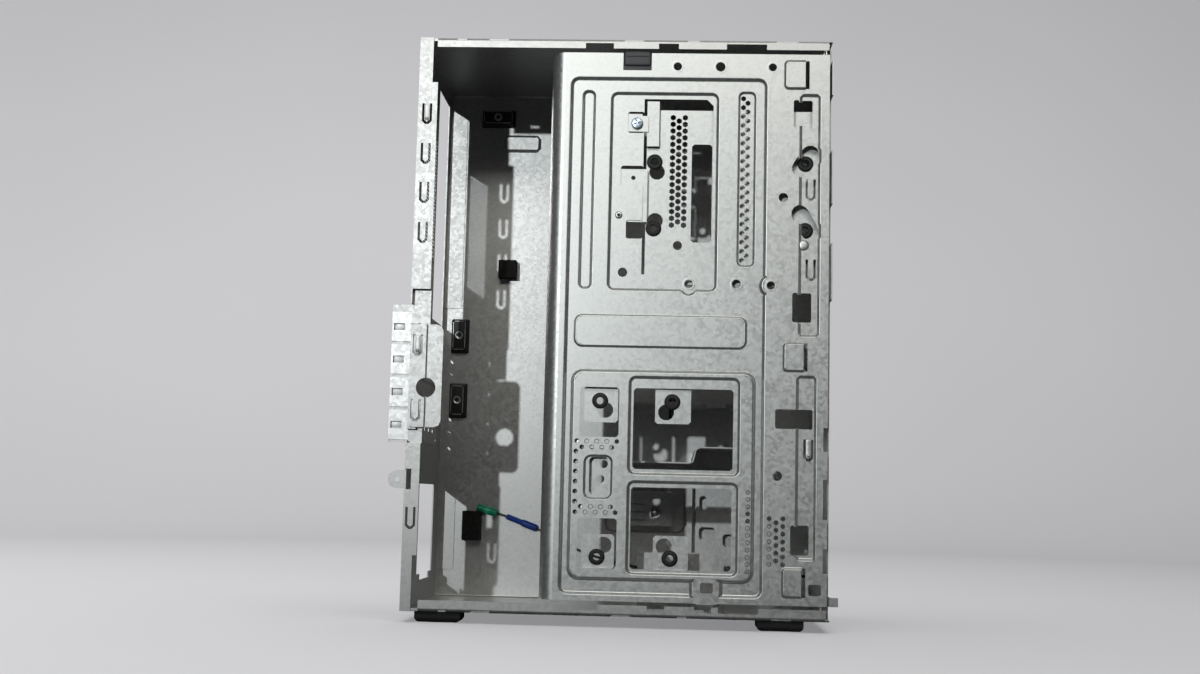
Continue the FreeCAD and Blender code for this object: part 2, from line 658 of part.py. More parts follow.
def grommet(x, z, face):
    """Rubber ring seated in a sheet whose open face is at the given level."""
    back = face + SHEET
    flange = punch(x, z, GROMMET_RADIUS, face - GROMMET_LIP, face)
    rubber = punch(x, z, GROMMET_NECK, face, back).fuse(flange)
    return rubber.cut(drill(x, z, GROMMET_BORE, face - 2 * GROMMET_LIP, back + GROMMET_LIP))


def lower_grommet_spots():
    """Grommet centre and keyhole lobe offset of each lower tab, on the drive's bottom hole pattern."""
    x, z = across(35.0), up(26.2)
    return ((x, z + DRIVE_SPAN, 3.3, -5.6), (x + DRIVE_ROW, z + DRIVE_SPAN, -3.7, -6.4),
            (x, z, 4.1, 7.3), (x + DRIVE_ROW, z, -3.6, 7.2))


def drive_grommets():
    rings = [grommet(x, z, TAB_LEVEL) for x, z, _, _ in lower_grommet_spots()]
    return rings + [grommet(x, z, DECK_LEVEL) for x, z, _, _ in deck_spots()]


def drive_bracket():
    y0 = BRACKET_LEVEL
    deep = y0 + FIELD_DEPTH
    back = DECK_LEVEL - 1
    plate = bracket_blank()
    field = upper_rect(11.6, 136.1, PATTERN_HEIGHT - 3.0, 15.0)
    plate = emboss(plate, [(field, 6.0)], y0, FIELD_DEPTH)
    raised = [(bracket_rect(18.2, 129.0, 13.4, 139.6), 6.0), (bracket_rect(92.6, 110.4, -2.0, 15.5), 4.0)]
    raised.append((upper_rect(132.6, 145.0, 152.5, 140.1), 6.1))
    plate = emboss(plate, raised, deep, -FIELD_DEPTH)
    plate = emboss(plate, [(bracket_rect(19.2, 123.2, 155.7, 173.7), 4.0)], deep, -FRAME_DEPTH / 2)
    sunk = [(upper_rect(37.1, 106.1, 151.3, 24.2), 5.0), (upper_rect(19.2, 28.8, 150.6, 23.2), 4.2),
            (upper_rect(117.1, 129.1, 135.2, 23.3), 4.0), (upper_rect(83.0, 93.6, 154.0, 140.0), 5.2)]
    plate = emboss(plate, sunk, deep, FRAME_DEPTH)
    frames = [(bracket_rect(52.1, 121.5, 75.8, 137.4), 5.0), (bracket_rect(52.2, 121.1, 15.6, 73.5), 5.0),
              (bracket_rect(25.6, 44.2, 60.6, 88.5), 5.0)]
    frames += [(upper_rect(155.1, 169.2, 178.3, 24.7), 3.0), (bracket_rect(154.3, 167.8, 26.4, 139.5), 3.0)]
    plate = emboss(plate, frames, y0, FRAME_DEPTH)
    lances = [upper_rect(146.6, 161.1, 21.7, 4.6), bracket_rect(147.2, 161.2, 141.9, 158.4),
              bracket_rect(147.6, 160.9, 5.4, 22.0)]
    plate = emboss(plate, [(rect, 2.0) for rect in lances], y0, -LANCE_HEIGHT)
    cuts = []
    for x0, x1, z0, z1 in lances:
        cuts.append(box(x1 - 2.2, x1 + 0.4, y0 - 3, y0 + 3, z0 - 0.4, z1 + 0.4))
    cuts += bracket_openings(y0 - 3, back)
    cuts += bracket_perforations(y0 - 3, back)
    plate = plate.cut(cuts)
    plate = plate.fuse(bracket_tabs())
    keys = []
    for x, z, lobe_x, lobe_z in lower_grommet_spots():
        keys.append(keyhole(x, z, lobe_x, lobe_z, TAB_LEVEL - 1, TAB_LEVEL + 2))
    for u, drop in (SCREW_SPOT, RIVET_SPOT):
        keys.append(punch(across(u), down(drop), SHANK + RUNNING, deep, back))
    pivot = drill_z(BRACKET_LEFT + PIVOT_U, PIVOT_LEVEL, PIVOT_RADIUS + RUNNING, 0, BOX_HEIGHT)
    return plate.cut(keys + [pivot])


def bracket_tabs():
    """Sunk tabs in the four lower windows with their joggles, the screw ledge and the latch guides."""
    y1 = TAB_LEVEL + SHEET
    tabs = []
    for (x, z, _, _), (rear, front, low, high, joint, sunk) in zip(lower_grommet_spots(), TAB_MARGINS):
        start = BRACKET_LEVEL + sunk * FRAME_DEPTH + SHEET / 2
        tabs.append(rounded_slab((x - rear, x + front, z - low, z + high), 1.5, TAB_LEVEL, y1))
        tabs.append(box(x - rear + 1, x + front - 1, start, y1, z + joint, z + joint + SHEET))
    sheet_back = BRACKET_LEVEL + FIELD_DEPTH + FRAME_DEPTH + SHEET
    x0, x1, z0, z1 = upper_rect(45.6, 57.5, 49.6, 38.2)
    tabs.append(box(x0, x1, sheet_back, sheet_back + SHEET, z0, z1))
    top = BRACKET_LOW + BRACKET_HEIGHT
    inner, outer = latch_plate()
    guide_back = BRACKET_LEVEL + SHEET + 2 * AIR + LATCH_PLATE
    for edge, side in ((inner, -1), (outer, 1)):
        near = edge + side * AIR
        grip = near - side * LATCH_GRIP
        corners = ((near, BRACKET_LEVEL + SHEET / 2), (near, guide_back), (grip, guide_back))
        tabs.append(prism_xy(folded(corners, -side * SHEET), top - LATCH_DEPTH - 3, top - 3))
    return tabs


def bracket_openings(y0, y1):
    cuts = []
    window = upper_rect(58.7, 102.1, 140.2, 28.8)
    x0, x1, z0, z1 = window
    diagonal = 12.6
    outline = ((x0, z0), (x1 - diagonal, z0), (x1, z0 + diagonal * 0.9), (x1, z1 - 4), (x1 - 4, z1), (x0, z1))
    cuts.append(prism_xz(outline, y0, y1))
    for rect in (upper_rect(48.6, 59.0, 50.6, 37.0), upper_rect(44.8, 59.0, 85.0, 71.6),
                 upper_rect(48.6, 59.0, 117.8, 106.1)):
        cuts.append(rounded_slab(rect, 1.0, y0, y1))
    for rect in (bracket_rect(22.9, 46.9, 99.0, 129.6), bracket_rect(55.7, 116.8, 80.0, 129.5),
                 bracket_rect(55.2, 116.4, 19.4, 69.0), bracket_rect(23.0, 47.0, 19.6, 49.7),
                 bracket_rect(29.4, 41.0, 64.3, 86.7)):
        cuts.append(rounded_slab(rect, 1.5, y0, y1))
    for rect in (upper_rect(151.8, 163.6, 46.6, 29.2), upper_rect(151.9, 163.7, 168.8, 150.6),
                 bracket_rect(142.2, 165.0, 106.3, 118.2), bracket_rect(151.9, 163.2, 30.2, 48.1),
                 bracket_rect(163.0, 170.7, 6.3, 12.9), bracket_rect(98.1, 105.9, 6.2, 12.4)):
        cuts.append(rounded_slab(rect, 0.8, y0, y1))
    for v0, v1 in ((92.9, 107.4), (51.9, 75.9), (19.6, 34.4)):
        cuts.append(box(BOX_LENGTH - 2.6, BOX_LENGTH + 1, y0, y1, up(v0), up(v1)))
    cuts.append(slanted_slot(across(156.5), down(72.6), across(162.5), down(63.2), 5.6, y0, y1))
    cuts.append(slanted_slot(across(162.4), down(111.9), across(156.4), down(101.1), 5.6, y0, y1))
    for u, drop in ((159.6, 92.6), (160.0, 142.9)):
        cuts.append(finger_cut(across(u), down(drop), y0, y1))
    cuts.append(finger_cut(across(159.5), up(86.8), y0, y1))
    for u, drop, radius in ((79.2, 8.4, 2.7), (106.0, 8.4, 3.1), (138.6, 8.4, 2.6), (138.8, 146.3, 2.6),
                            (88.3, 145.9, 2.8), (47.1, 139.1, 3.0), (117.7, 145.6, 2.9), (145.9, 91.1, 3.0)):
        cuts.append(punch(across(u), down(drop), radius, y0, y1))
    cuts.append(punch(across(143.8), up(77.6), 3.0, y0, y1))
    top = BRACKET_LOW + BRACKET_HEIGHT
    notch = BRACKET_LEFT + LATCH_X[0]
    cuts.append(box(notch, notch + LATCH_X[1], y0, y1 + 3, top - LATCH_DEPTH, top + 1))
    return cuts


def bracket_perforations(y0, y1):
    top = PATTERN_HEIGHT
    column = [(120.7, top - 27.9 - 5.7 * step) for step in range(19)]
    column += [(123.5, top - 30.75 - 5.7 * step) for step in range(18)]
    spots = []
    for step in range(5):
        spots.append((21.4 + 6.15 * step, 96.4))
        spots.append((21.4 + 6.15 * step, 53.2))
    for step in range(4):
        spots.append((24.6 + 6.15 * step, 92.7))
        spots.append((24.6 + 6.15 * step, 56.6))
    for step in range(6):
        spots.append((21.0, 90.1 - 6.1 * step))
    for step in range(12):
        spots.append((126.2, 67.3 - 4.33 * step))
    for step in range(7):
        spots.append((139.2, 51.8 - 4.57 * step))
        spots.append((147.5, 51.8 - 4.57 * step))
    for step in range(6):
        spots.append((143.4, 49.5 - 4.57 * step))
    holes = [(u, v, COLUMN_PERFORATION) for u, v in column] + [(u, v, PERFORATION) for u, v in spots]
    return [prism_xz(ring(across(u), up(v), radius, VENT_SIDES), y0, y1) for u, v, radius in holes]


def bracket_pivots():
    x = BRACKET_LEFT + PIVOT_U
    y = PIVOT_LEVEL
    low = BRACKET_LOW + 2 * SHEET
    high = BRACKET_LOW + BRACKET_HEIGHT - 2 * SHEET
    ceiling = BOX_HEIGHT - SHEET
    base = ring(x, y, PIVOT_BASE, HOLE_SIDES)
    lower = drill_z(x, y, PIVOT_RADIUS, SHEET, low).fuse(prism_xy(base, SHEET, SHEET + PIVOT_BASE_HEIGHT))
    upper = drill_z(x, y, PIVOT_RADIUS, high, ceiling)
    upper = upper.fuse(prism_xy(base, ceiling - PIVOT_BASE_HEIGHT, ceiling))
    return [lower, upper]


def deck_spots():
    """Deck grommet centres: the window's pair with keyhole lobes, and a plain pair to the front."""
    u, drop = DECK_FIRST_HOLE
    spots = []
    for row, (lobe_x, lobe_z) in enumerate(DECK_LOBES):
        z = down(drop + DECK_ROW * row)
        spots.append((across(u), z, lobe_x, lobe_z))
        spots.append((across(u + DECK_SPAN), z, 0.0, 0.0))
    return spots


def drive_deck():
    y0, y1 = DECK_LEVEL, DECK_LEVEL + SHEET
    left = across(DECK_LEFT)
    front = BOX_LENGTH - 3.9
    low, high = up(DECK_LOW), down(DECK_TOP_GAP)
    frame_back = BRACKET_LEVEL + FIELD_DEPTH + FRAME_DEPTH + SHEET
    plate_back = BRACKET_LEVEL + SHEET
    riser = folded(((left, y0), (front, y0), (front, plate_back), (front + 3.4, plate_back)), SHEET)
    deck = prism_xy(riser, low, high)
    hem = folded(((left + SHEET, y1), (left + SHEET, frame_back - SHEET), (across(49.0), frame_back - SHEET)),
                 -SHEET)
    screw_z = down(SCREW_SPOT[1])
    pieces = [prism_xy(hem, screw_z - 5.0, screw_z + 5.0)]
    step = folded(((left + SHEET, y1), (left + SHEET, frame_back), (across(39.6), frame_back)), -SHEET)
    rivet_z = down(RIVET_SPOT[1])
    pieces.append(prism_xy(step, rivet_z - 4.0, rivet_z + 29.5))
    strip = folded(((left, y1), (left, 7.4), (left + 7.6, 7.4), (left + 8.4, y0 + SHEET)), SHEET)
    pieces.append(prism_xy(strip, screw_z - 14.0, screw_z + 14.8))
    deck = deck.fuse(pieces)
    cuts = [rounded_slab((left + 28.4, left + 41.2, down(118.8), down(56.3)), 1.5, y0 - 1, y1 + 1)]
    cuts.append(punch(left + 20.3, down(120.9), 2.9, y0 - 1, y1 + 1))
    for column, count, start in ((16.3, 17, 39.2), (20.1, 16, 41.35), (23.9, 17, 39.2)):
        for row in range(count):
            hole = ring(left + column, down(start + DECK_HOLE_PITCH * row), DECK_PERFORATION, VENT_SIDES)
            cuts.append(prism_xz(hole, y0 - 1, y1 + 1))
    for x, z, lobe_x, lobe_z in deck_spots():
        cuts.append(keyhole(x, z, lobe_x, lobe_z, y0 - 1, y1 + 1))
    cuts.append(punch(across(RIVET_SPOT[0]), rivet_z, SHANK + RUNNING, 0, y0 - 1))
    cuts.append(punch(across(52.6), down(79.1), 1.4, 0, y0 - 1))
    cuts.append(punch(across(SCREW_SPOT[0]), screw_z, SHANK + RUNNING, 0, y0 - 1))
    return deck.cut(cuts)


def deck_screw():
    frame = BRACKET_LEVEL + FIELD_DEPTH + FRAME_DEPTH
    x = across(SCREW_SPOT[0])
    z = down(SCREW_SPOT[1])
    head = punch(x, z, SCREW_HEAD, frame - 2.0, frame)
    shank = punch(x, z, SHANK, frame, frame + 2 * SHEET)
    cross = [box(x - 2.2, x + 2.2, frame - 3, frame - 1, z - 0.5, z + 0.5),
             box(x - 0.5, x + 0.5, frame - 3, frame - 1, z - 2.2, z + 2.2)]
    return head.fuse(shank).cut(cross)


def deck_rivet():
    frame = BRACKET_LEVEL + FIELD_DEPTH + FRAME_DEPTH
    x = across(RIVET_SPOT[0])
    z = down(RIVET_SPOT[1])
    rivet = punch(x, z, RIVET_RADIUS, frame - RIVET_HEIGHT, frame)
    rivet = rivet.fuse(punch(x, z, SHANK, frame, frame + 2 * SHEET))
    return rivet.cut(punch(x, z, 0.9, frame - 2, frame + 4))


def hat_bracket():
    """Small bracket with two tapped holes spot-welded behind the small window."""
    back = BRACKET_LEVEL + SHEET
    top = 9.6
    z = [up(v) for v in (51.6, 58.0, 59.0, 91.0, 92.0, 98.0)]
    path = ((back, z[0]), (back, z[1]), (top, z[2]), (top, z[3]), (back, z[4]), (back, z[5]))
    x0, x1 = across(26.0), across(43.0)
    hat = prism_yz(folded(path, -SHEET), x0, x1)
    holes = [punch(across(u), up(v), 2.6, top - 2, top + 2) for u, v in ((38.0, 82.7), (36.1, 73.6))]
    return hat.cut(holes)


def latch_plate():
    """Rear and front edges of the latch's wider back plate."""
    u, width = LATCH_X
    return BRACKET_LEFT + u + AIR - LATCH_GRIP, BRACKET_LEFT + u + width - AIR + LATCH_GRIP


def bracket_latch():
    """Moulded slider: thumb block in the notch, wider back plate, tongue under the rim lip."""
    top = BRACKET_LOW + BRACKET_HEIGHT
    u, width = LATCH_X
    x0, x1 = BRACKET_LEFT + u + AIR, BRACKET_LEFT + u + width - AIR
    low = top - LATCH_DEPTH + AIR + LATCH_TRAVEL
    tip = BOX_HEIGHT - TOP_LIP - AIR
    back = BRACKET_LEVEL + SHEET + AIR
    block = box(x0, x1, BRACKET_LEVEL - 0.4, back + LATCH_PLATE, low, tip)
    inner, outer = latch_plate()
    plate = box(inner, outer, back, back + LATCH_PLATE, top - LATCH_DEPTH + AIR, top - SHEET - AIR)
    ridge = prism_yz(ring(BRACKET_LEVEL - 0.2, (low + tip) / 2, 1.1, RIVET_SIDES), x0 + 1, x1 - 1)
    return block.fuse([plate, ridge])


def cage_shelf():
    """Jogged shelf standing on the closed side with a foot flange."""
    z0, z1 = SHELF_LOW, SHELF_LOW + SHELF_STEP
    rear, front = SHELF_X
    jog = ((rear + 51.5, z0 + 1.2), (rear + 53.5, z1 - 1.2))
    path = ((rear, z0), (rear + 49.0, z0), *jog, (rear + 56.0, z1), (front, z1))
    web = prism_xz(folded(path, SHEET), SHELF_Y, FLOOR)
    foot = box(rear, rear + 48.0, FLOOR - SHEET, FLOOR, z0 - SHELF_FOOT, z0 + SHEET / 2)
    return web.fuse(foot)


def cage_shelf_upper():
    """Flat shelf above the jogged one, notched round a board stand-off, with a short lip."""
    rear, front = SHELF_X
    z = UPPER_SHELF
    x0, x1, drop = SHELF_LIP
    boss_x = BOARD_HOLE_X + BOARD_COLUMNS[-1]
    half = STANDOFF_SIZE[0] / 2 + 2 * SHEET
    shelf = box(rear, front, SHELF_Y, FLOOR, z, z + SHEET)
    foot = box(rear, boss_x - half, FLOOR - SHEET, FLOOR, z, z + SHELF_FOOT)
    lip = box(x0, x1, SHELF_Y, SHELF_Y + SHEET, z - drop, z + SHEET / 2)
    notch = box(boss_x - half, boss_x + half, FLOOR - STANDOFF_HEIGHT - AIR, FLOOR + 1, z - 1, z + SHEET + 1)
    return shelf.fuse([foot, lip]).cut(notch)


def supply_clip():
    """Ribbed spring strip with a D-shaped hole."""
    floor = FLOOR + RECESS_DEPTH
    raised = FLOOR - CLIP_RISE
    path = ((122.5, floor), (131.0, floor), (133.5, raised), (165.0, raised))
    clip = prism_xy(folded(path, -SHEET), 52.4, 71.0)
    ribs = []
    for z in (55.6, 61.0, 66.4):
        crest = raised - SHEET - RIB_HEIGHT
        ribs.append(prism_yz(((raised, z - 0.9), (crest, z + 0.6), (raised, z + 2.1)), 135.0, 146.0))
    clip = clip.fuse(ribs)
    x, z = CLIP_HOLE
    hole = punch(x, z, 4.2, raised - 3, raised + 2)
    hole = hole.cut(box(x - 9, x - 2.7, raised - 4, raised + 3, z - 9, z + 9))
    return clip.cut(hole)


def rivet_head(x, z, radius, seat, height):
    """Low many-sided rivet head standing on a face towards the open side."""
    foot_ring = [Vector(u, seat, v) for u, v in ring(x, z, radius, RIVET_SIDES)]
    top_ring = [Vector(u, seat - height, v) for u, v in ring(x, z, 0.6 * radius, RIVET_SIDES)]
    return solid_between(foot_ring, top_ring)


def chassis_rivets():
    seat = FLOOR - SHEET
    spots = [(SHELF_X[0] + 10.0, SHELF_LOW - 5.0), (SHELF_X[0] + 38.0, SHELF_LOW - 5.0)]
    rivets = [rivet_head(x, z, RIVET_RADIUS, seat, RIVET_HEIGHT) for x, z in spots]
    return rivets + [rivet_head(*CLIP_HOLE, CLIP_RIVET, FLOOR + RECESS_DEPTH, CLIP_RIVET_HEIGHT)]


def foam_pad(sizes):
    x, width, z, height = sizes
    return box(x, x + width, FLOOR - FOAM_HEIGHT, FLOOR, z, z + height)


def foot(x, y):
    pad = Part.makeBox(FOOT_LENGTH, FOOT_WIDTH, FOOT_HEIGHT, Vector(x, y, -FOOT_HEIGHT))
    return round_edges(pad, FOOT_ROUND, lambda edge: edge.BoundBox.ZMax < -FOOT_HEIGHT + 0.01)


def lead_route():
    """Points of the thin lead, lying on the closed side from its sleeved end to the front panel."""
    sleeved = FLOOR - SLEEVE_RADIUS
    bare = FLOOR - WIRE_RADIUS
    return [Vector(29.0, sleeved, 62.5), Vector(50.0, sleeved, 56.6), Vector(73.0, sleeved, 48.0),
            Vector(104.0, sleeved, 32.0), Vector(150.0, bare, 21.5), Vector(206.0, bare, 19.0),
            Vector(FRONT_WALL + SHEET, bare, 20.5)]


def ring_across(centre, direction, radius, sides):
    """Corners of a regular outline square to a direction."""
    side = direction.cross(Vector(0, 0, 1)).normalize()
    up = side.cross(direction).normalize()
    return [centre + side * u + up * v for u, v in ring(0, 0, radius, sides)]


def route_wire(points):
    """Straight runs joined by tangent arcs as large as the runs allow."""
    edges = []
    start = points[0]
    for before, corner, after in zip(points, points[1:], points[2:]):
        into = (corner - before).normalize()
        out = (after - corner).normalize()
        tangent = 0.45 * min((corner - before).Length, (after - corner).Length)
        radius = tangent / math.tan(into.getAngle(out) / 2)
        first, last = corner - into * tangent, corner + out * tangent
        middle = corner + (out - into).normalize() * (math.hypot(radius, tangent) - radius)
        edges.append(Part.makeLine(start, first))
        edges.append(Part.Arc(first, middle, last).toShape())
        start = last
    edges.append(Part.makeLine(start, points[-1]))
    return Part.Wire(edges)


def spot_on(wire, distance):
    """Point of a wire at a length along it."""
    for edge in wire.OrderedEdges:
        if distance <= edge.Length:
            return edge.valueAt(edge.getParameterByLength(distance))
        distance -= edge.Length
    raise ValueError("past the end of the wire")


def lead_wire():
    points = lead_route()
    wire = route_wire(points)
    section = ring_across(points[0], points[1] - points[0], WIRE_RADIUS, VENT_SIDES)
    pipe = wire.makePipeShell([Part.makePolygon(section + section[:1])], True, False)
    area = VENT_SIDES / 2 * WIRE_RADIUS ** 2 * math.sin(2 * math.pi / VENT_SIDES)
    print("bend radii", [round(edge.Curve.Radius, 1) for edge in wire.Edges if hasattr(edge.Curve, "Radius")])
    print("tube volume", round(pipe.Volume, 1), "against", round(area * wire.Length, 1))
    return pipe


def lead_sleeve(start, end):
    """Straight sleeve around the lead between two lengths along it."""
    wire = route_wire(lead_route())
    first, last = spot_on(wire, start), spot_on(wire, end)
    walls = []
    for radius in (SLEEVE_RADIUS, WIRE_RADIUS + AIR):
        walls.append(flat_face(ring_across(first, last - first, radius, HOLE_SIDES)).extrude(last - first))
    return walls[0].cut(walls[1])


def write(name, shapes):
    """Save one node in the part's own frame: origin under the middle of the box, at floor level."""
    solids = shapes if isinstance(shapes, list) else [shapes]
    shape = Part.makeCompound([solid for item in solids for solid in item.Solids])
    middle_x = (REACH_FRONT - REACH_REAR) / 2
    shape.translate(Vector(-middle_x, -REACH_SIDE / 2, FOOT_HEIGHT))
    if len(shape.Solids) == 1:
        shape = shape.Solids[0]
    shape.exportStep("parts/" + name + ".step")
    print(name, len(shape.Solids), shape.isValid(), round(shape.Volume, 1))


def main():
    os.makedirs("parts", exist_ok=True)
    write("main_shell", main_shell())
    write("rear_panel", rear_panel())
    write("vent_screen", vent_screen())
    write("front_panel", front_panel())
    for index in range(SLOT_COUNT):
        write("slot_cover_%d" % (index + 1), slot_cover(index))
    write("card_retainer", card_retainer())
    write("retainer_pins", retainer_pins())
    write("drive_bracket", drive_bracket())
    write("drive_deck", drive_deck())
    write("bracket_pivots", bracket_pivots())
    write("drive_grommets", drive_grommets())
    write("deck_screw", deck_screw())
    write("deck_rivet", deck_rivet())
    write("hat_bracket", hat_bracket())
    write("bracket_latch", bracket_latch())
    write("cage_shelf", cage_shelf())
    write("cage_shelf_upper", cage_shelf_upper())
    write("supply_clip", supply_clip())
    write("chassis_rivets", chassis_rivets())
    write("foam_pad_upper", foam_pad(FOAM_UPPER))
    write("foam_pad_lower", foam_pad(FOAM_LOWER))
    inner_y = BOX_WIDTH - FOOT_INSET - FOOT_WIDTH
    for name, x, y in (("rear_open", REAR_FOOT_X, FOOT_INSET), ("rear_closed", REAR_FOOT_X, inner_y),
                       ("front_open", FRONT_FOOT_X, FOOT_INSET), ("front_closed", FRONT_FOOT_X, inner_y)):
        write("foot_" + name, foot(x, y))
    write("lead_wire", lead_wire())
    write("lead_sleeve_free", lead_sleeve(*FREE_SLEEVE))
    write("lead_sleeve_middle", lead_sleeve(*MIDDLE_SLEEVE))


main()
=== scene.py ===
import json
import math

import bmesh
import bpy
from mathutils import Matrix, Vector, noise


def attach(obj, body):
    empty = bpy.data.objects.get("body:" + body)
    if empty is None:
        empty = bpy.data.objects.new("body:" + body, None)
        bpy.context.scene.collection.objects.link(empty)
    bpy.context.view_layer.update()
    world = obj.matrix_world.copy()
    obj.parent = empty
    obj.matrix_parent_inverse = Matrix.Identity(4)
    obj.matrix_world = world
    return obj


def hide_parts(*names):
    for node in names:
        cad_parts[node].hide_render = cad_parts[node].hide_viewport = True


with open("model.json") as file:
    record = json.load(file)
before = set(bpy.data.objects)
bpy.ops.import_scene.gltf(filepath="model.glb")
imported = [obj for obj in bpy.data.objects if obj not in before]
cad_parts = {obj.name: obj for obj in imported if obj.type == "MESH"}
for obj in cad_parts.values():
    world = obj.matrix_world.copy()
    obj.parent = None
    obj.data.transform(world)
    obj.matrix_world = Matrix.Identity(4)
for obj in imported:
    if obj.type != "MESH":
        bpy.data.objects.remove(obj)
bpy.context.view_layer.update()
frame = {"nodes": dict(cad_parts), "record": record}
print("frame loaded,", len(frame["nodes"]), "CAD nodes")

# the bench marks: case millimetres (rear face, open rim, bottom sheet) to the row frame
bench = {"shift": (126.0, 67.75, -6.5), "scale": 0.001, "weld": 2e-6}


def at(x, y, z):
    spot = Vector((x, y, z)) - Vector(bench["shift"])
    return spot * bench["scale"]


# camera, fitted to the card slot pitch, the drive hole pattern and the board holes
cameraSet = {
    "place": (0.0318178, -0.9589421, 0.0779824),
    "turn": (1.67985108, -0.02333251, 0.04237539),
    "lens": 43.83,
    "sensor": 36.0,
    "near": 0.01,
}
cameraData = bpy.data.cameras.new("photoCamera")
cameraData.lens = cameraSet["lens"]
cameraData.sensor_width = cameraSet["sensor"]
cameraData.clip_start = cameraSet["near"]
camera = bpy.data.objects.new("photoCamera", cameraData)
camera.location = cameraSet["place"]
camera.rotation_euler = cameraSet["turn"]
bpy.context.scene.collection.objects.link(camera)
bpy.context.scene.camera = camera
print("camera set")


# wraps one shader socket, so that maths on it reads as plain Python
class Signal:
    def __init__(self, tree, socket):
        self.tree, self.socket = tree, socket

    def add(self, kind, settings=None, inputs=None, output=0):
        made = self.tree.nodes.new("ShaderNode" + kind)
        for name, value in (settings or {}).items():
            setattr(made, name, value)
        for key, value in (inputs or {}).items():
            if isinstance(value, Signal):
                self.tree.links.new(value.socket, made.inputs[key])
            else:
                made.inputs[key].default_value = value
        return Signal(self.tree, made.outputs[output])

    def maths(self, operation, first, second):
        return self.add("Math", {"operation": operation}, {0: first, 1: second})

    def __add__(self, other):
        return self.maths("ADD", self, other)

    def __radd__(self, other):
        return self.maths("ADD", other, self)

    def __mul__(self, other):
        return self.maths("MULTIPLY", self, other)

    def noise(self, scale, detail=2.0, rough=0.5):
        return self.add("TexNoise", None, {"Vector": self, "Scale": scale, "Detail": detail, "Roughness": rough})

    def stretched(self, scale, turn=(0.0, 0.0, 0.0)):
        return self.add("Mapping", None, {"Vector": self, "Scale": scale, "Rotation": turn})

    def between(self, low, high):  # 0 below low, 1 above high
        return self.add("MapRange", {"clamp": True}, {"Value": self, "From Min": low, "From Max": high})

    def tint(self, dark, light):
        ends = {0: self, 6: (*dark, 1.0), 7: (*light, 1.0)}
        return self.add("Mix", {"data_type": "RGBA", "clamp_factor": True}, ends, 2)

    def over(self, base, light):  # a colour laid over another by this mask
        ends = {0: self, 6: base, 7: (*light, 1.0)}
        return self.add("Mix", {"data_type": "RGBA", "clamp_factor": True}, ends, 2)

    def bump(self, strength, depth):
        return self.add("Bump", None, {"Height": self, "Strength": strength, "Distance": depth})


def newFinish(name):
    finish = bpy.data.materials.new(name)
    finish.use_nodes = True
    tree = finish.node_tree
    shader = tree.nodes["Principled BSDF"]
    coords = tree.nodes.new("ShaderNodeTexCoord")
    return finish, shader, Signal(tree, coords.outputs["Object"])


def feed(shader, **sockets):
    for name, value in sockets.items():
        socket = shader.inputs[name.replace("_", " ")]
        if isinstance(value, Signal):
            value.tree.links.new(value.socket, socket)
        else:
            socket.default_value = value


# galvanised sheet: small crystals, fine grain, handling scratches
steelSet = {
    "tones": {
        "shell_steel": {"dark": (0.44, 0.445, 0.44), "light": (0.74, 0.745, 0.735), "metal": 0.80, "rough": 0.40},
        "panel_steel": {"dark": (0.44, 0.445, 0.44), "light": (0.74, 0.745, 0.735), "metal": 0.80, "rough": 0.42},
        "bracket_steel": {"dark": (0.49, 0.503, 0.495), "light": (0.805, 0.822, 0.81), "metal": 0.80, "rough": 0.38},
        "coverSteel": {"dark": (0.56, 0.565, 0.57), "light": (0.85, 0.85, 0.855), "metal": 0.84, "rough": 0.40},
        # the dark tone below is painted shade for the insides of the plate's small holes
        "holeShadeSteel": {"dark": (0.085, 0.09, 0.088), "light": (0.17, 0.178, 0.172), "metal": 0.4, "rough": 0.55},
    },
    "crystals": 520.0, "grain": 1500.0, "cloud": 9.0,
    "base": 0.06, "crystalShare": 0.30, "grainShare": 0.52, "cloudShare": 0.14,
    "scratchScale": (900.0, 900.0, 22.0), "scratchTurn": (0.35, 0.2, 0.1), "scratchEnds": (0.70, 0.76),
    "scratchTint": (0.72, 0.72, 0.71), "scratchShare": 0.35,
    "sheen": (-0.06, 0.10, 0.03), "relief": (0.6, 0.25), "bump": (0.16, 0.00012),
}


def galvanised(name):
    tone = steelSet["tones"][name]
    finish, shader, coords = newFinish(name)
    crystal = coords.add("TexVoronoi", {"feature": "F1"}, {"Vector": coords, "Scale": steelSet["crystals"]}, 1)
    crystal = crystal.add("SeparateColor", None, {"Color": crystal})
    grain = coords.noise(steelSet["grain"], 2.0, 0.6)
    cloud = coords.noise(steelSet["cloud"], 3.0, 0.5)
    scratch = coords.stretched(steelSet["scratchScale"], steelSet["scratchTurn"]).noise(1.0, 1.0, 0.4)
    scratch = scratch.between(*steelSet["scratchEnds"]) * steelSet["scratchShare"]
    blend = steelSet["base"] + crystal * steelSet["crystalShare"] + grain * steelSet["grainShare"]
    blend = blend + cloud * steelSet["cloudShare"]
    colour = scratch.over(blend.tint(tone["dark"], tone["light"]), steelSet["scratchTint"])
    flat, byCrystal, byCloud = steelSet["sheen"]
    rough = tone["rough"] + flat + crystal * byCrystal + cloud * byCloud
    byGrain, byCrystal = steelSet["relief"]
    feed(shader, Base_Color=colour, Metallic=tone["metal"], Roughness=rough)
    feed(shader, Normal=(grain * byGrain + crystal * byCrystal).bump(*steelSet["bump"]))
    return finish


# plated fasteners: turning marks and a little soil
zincSet = {
    "tones": {
        "fastener_zinc": {"dark": (0.46, 0.46, 0.45), "light": (0.80, 0.80, 0.77), "metal": 0.88},
        "blueZinc": {"dark": (0.38, 0.46, 0.55), "light": (0.72, 0.82, 0.92), "metal": 0.86},
    },
    "marks": 700.0, "soil": 160.0, "shares": (0.2, 0.5, 0.3), "rough": (0.24, 0.14), "bump": (0.1, 0.0001),
}


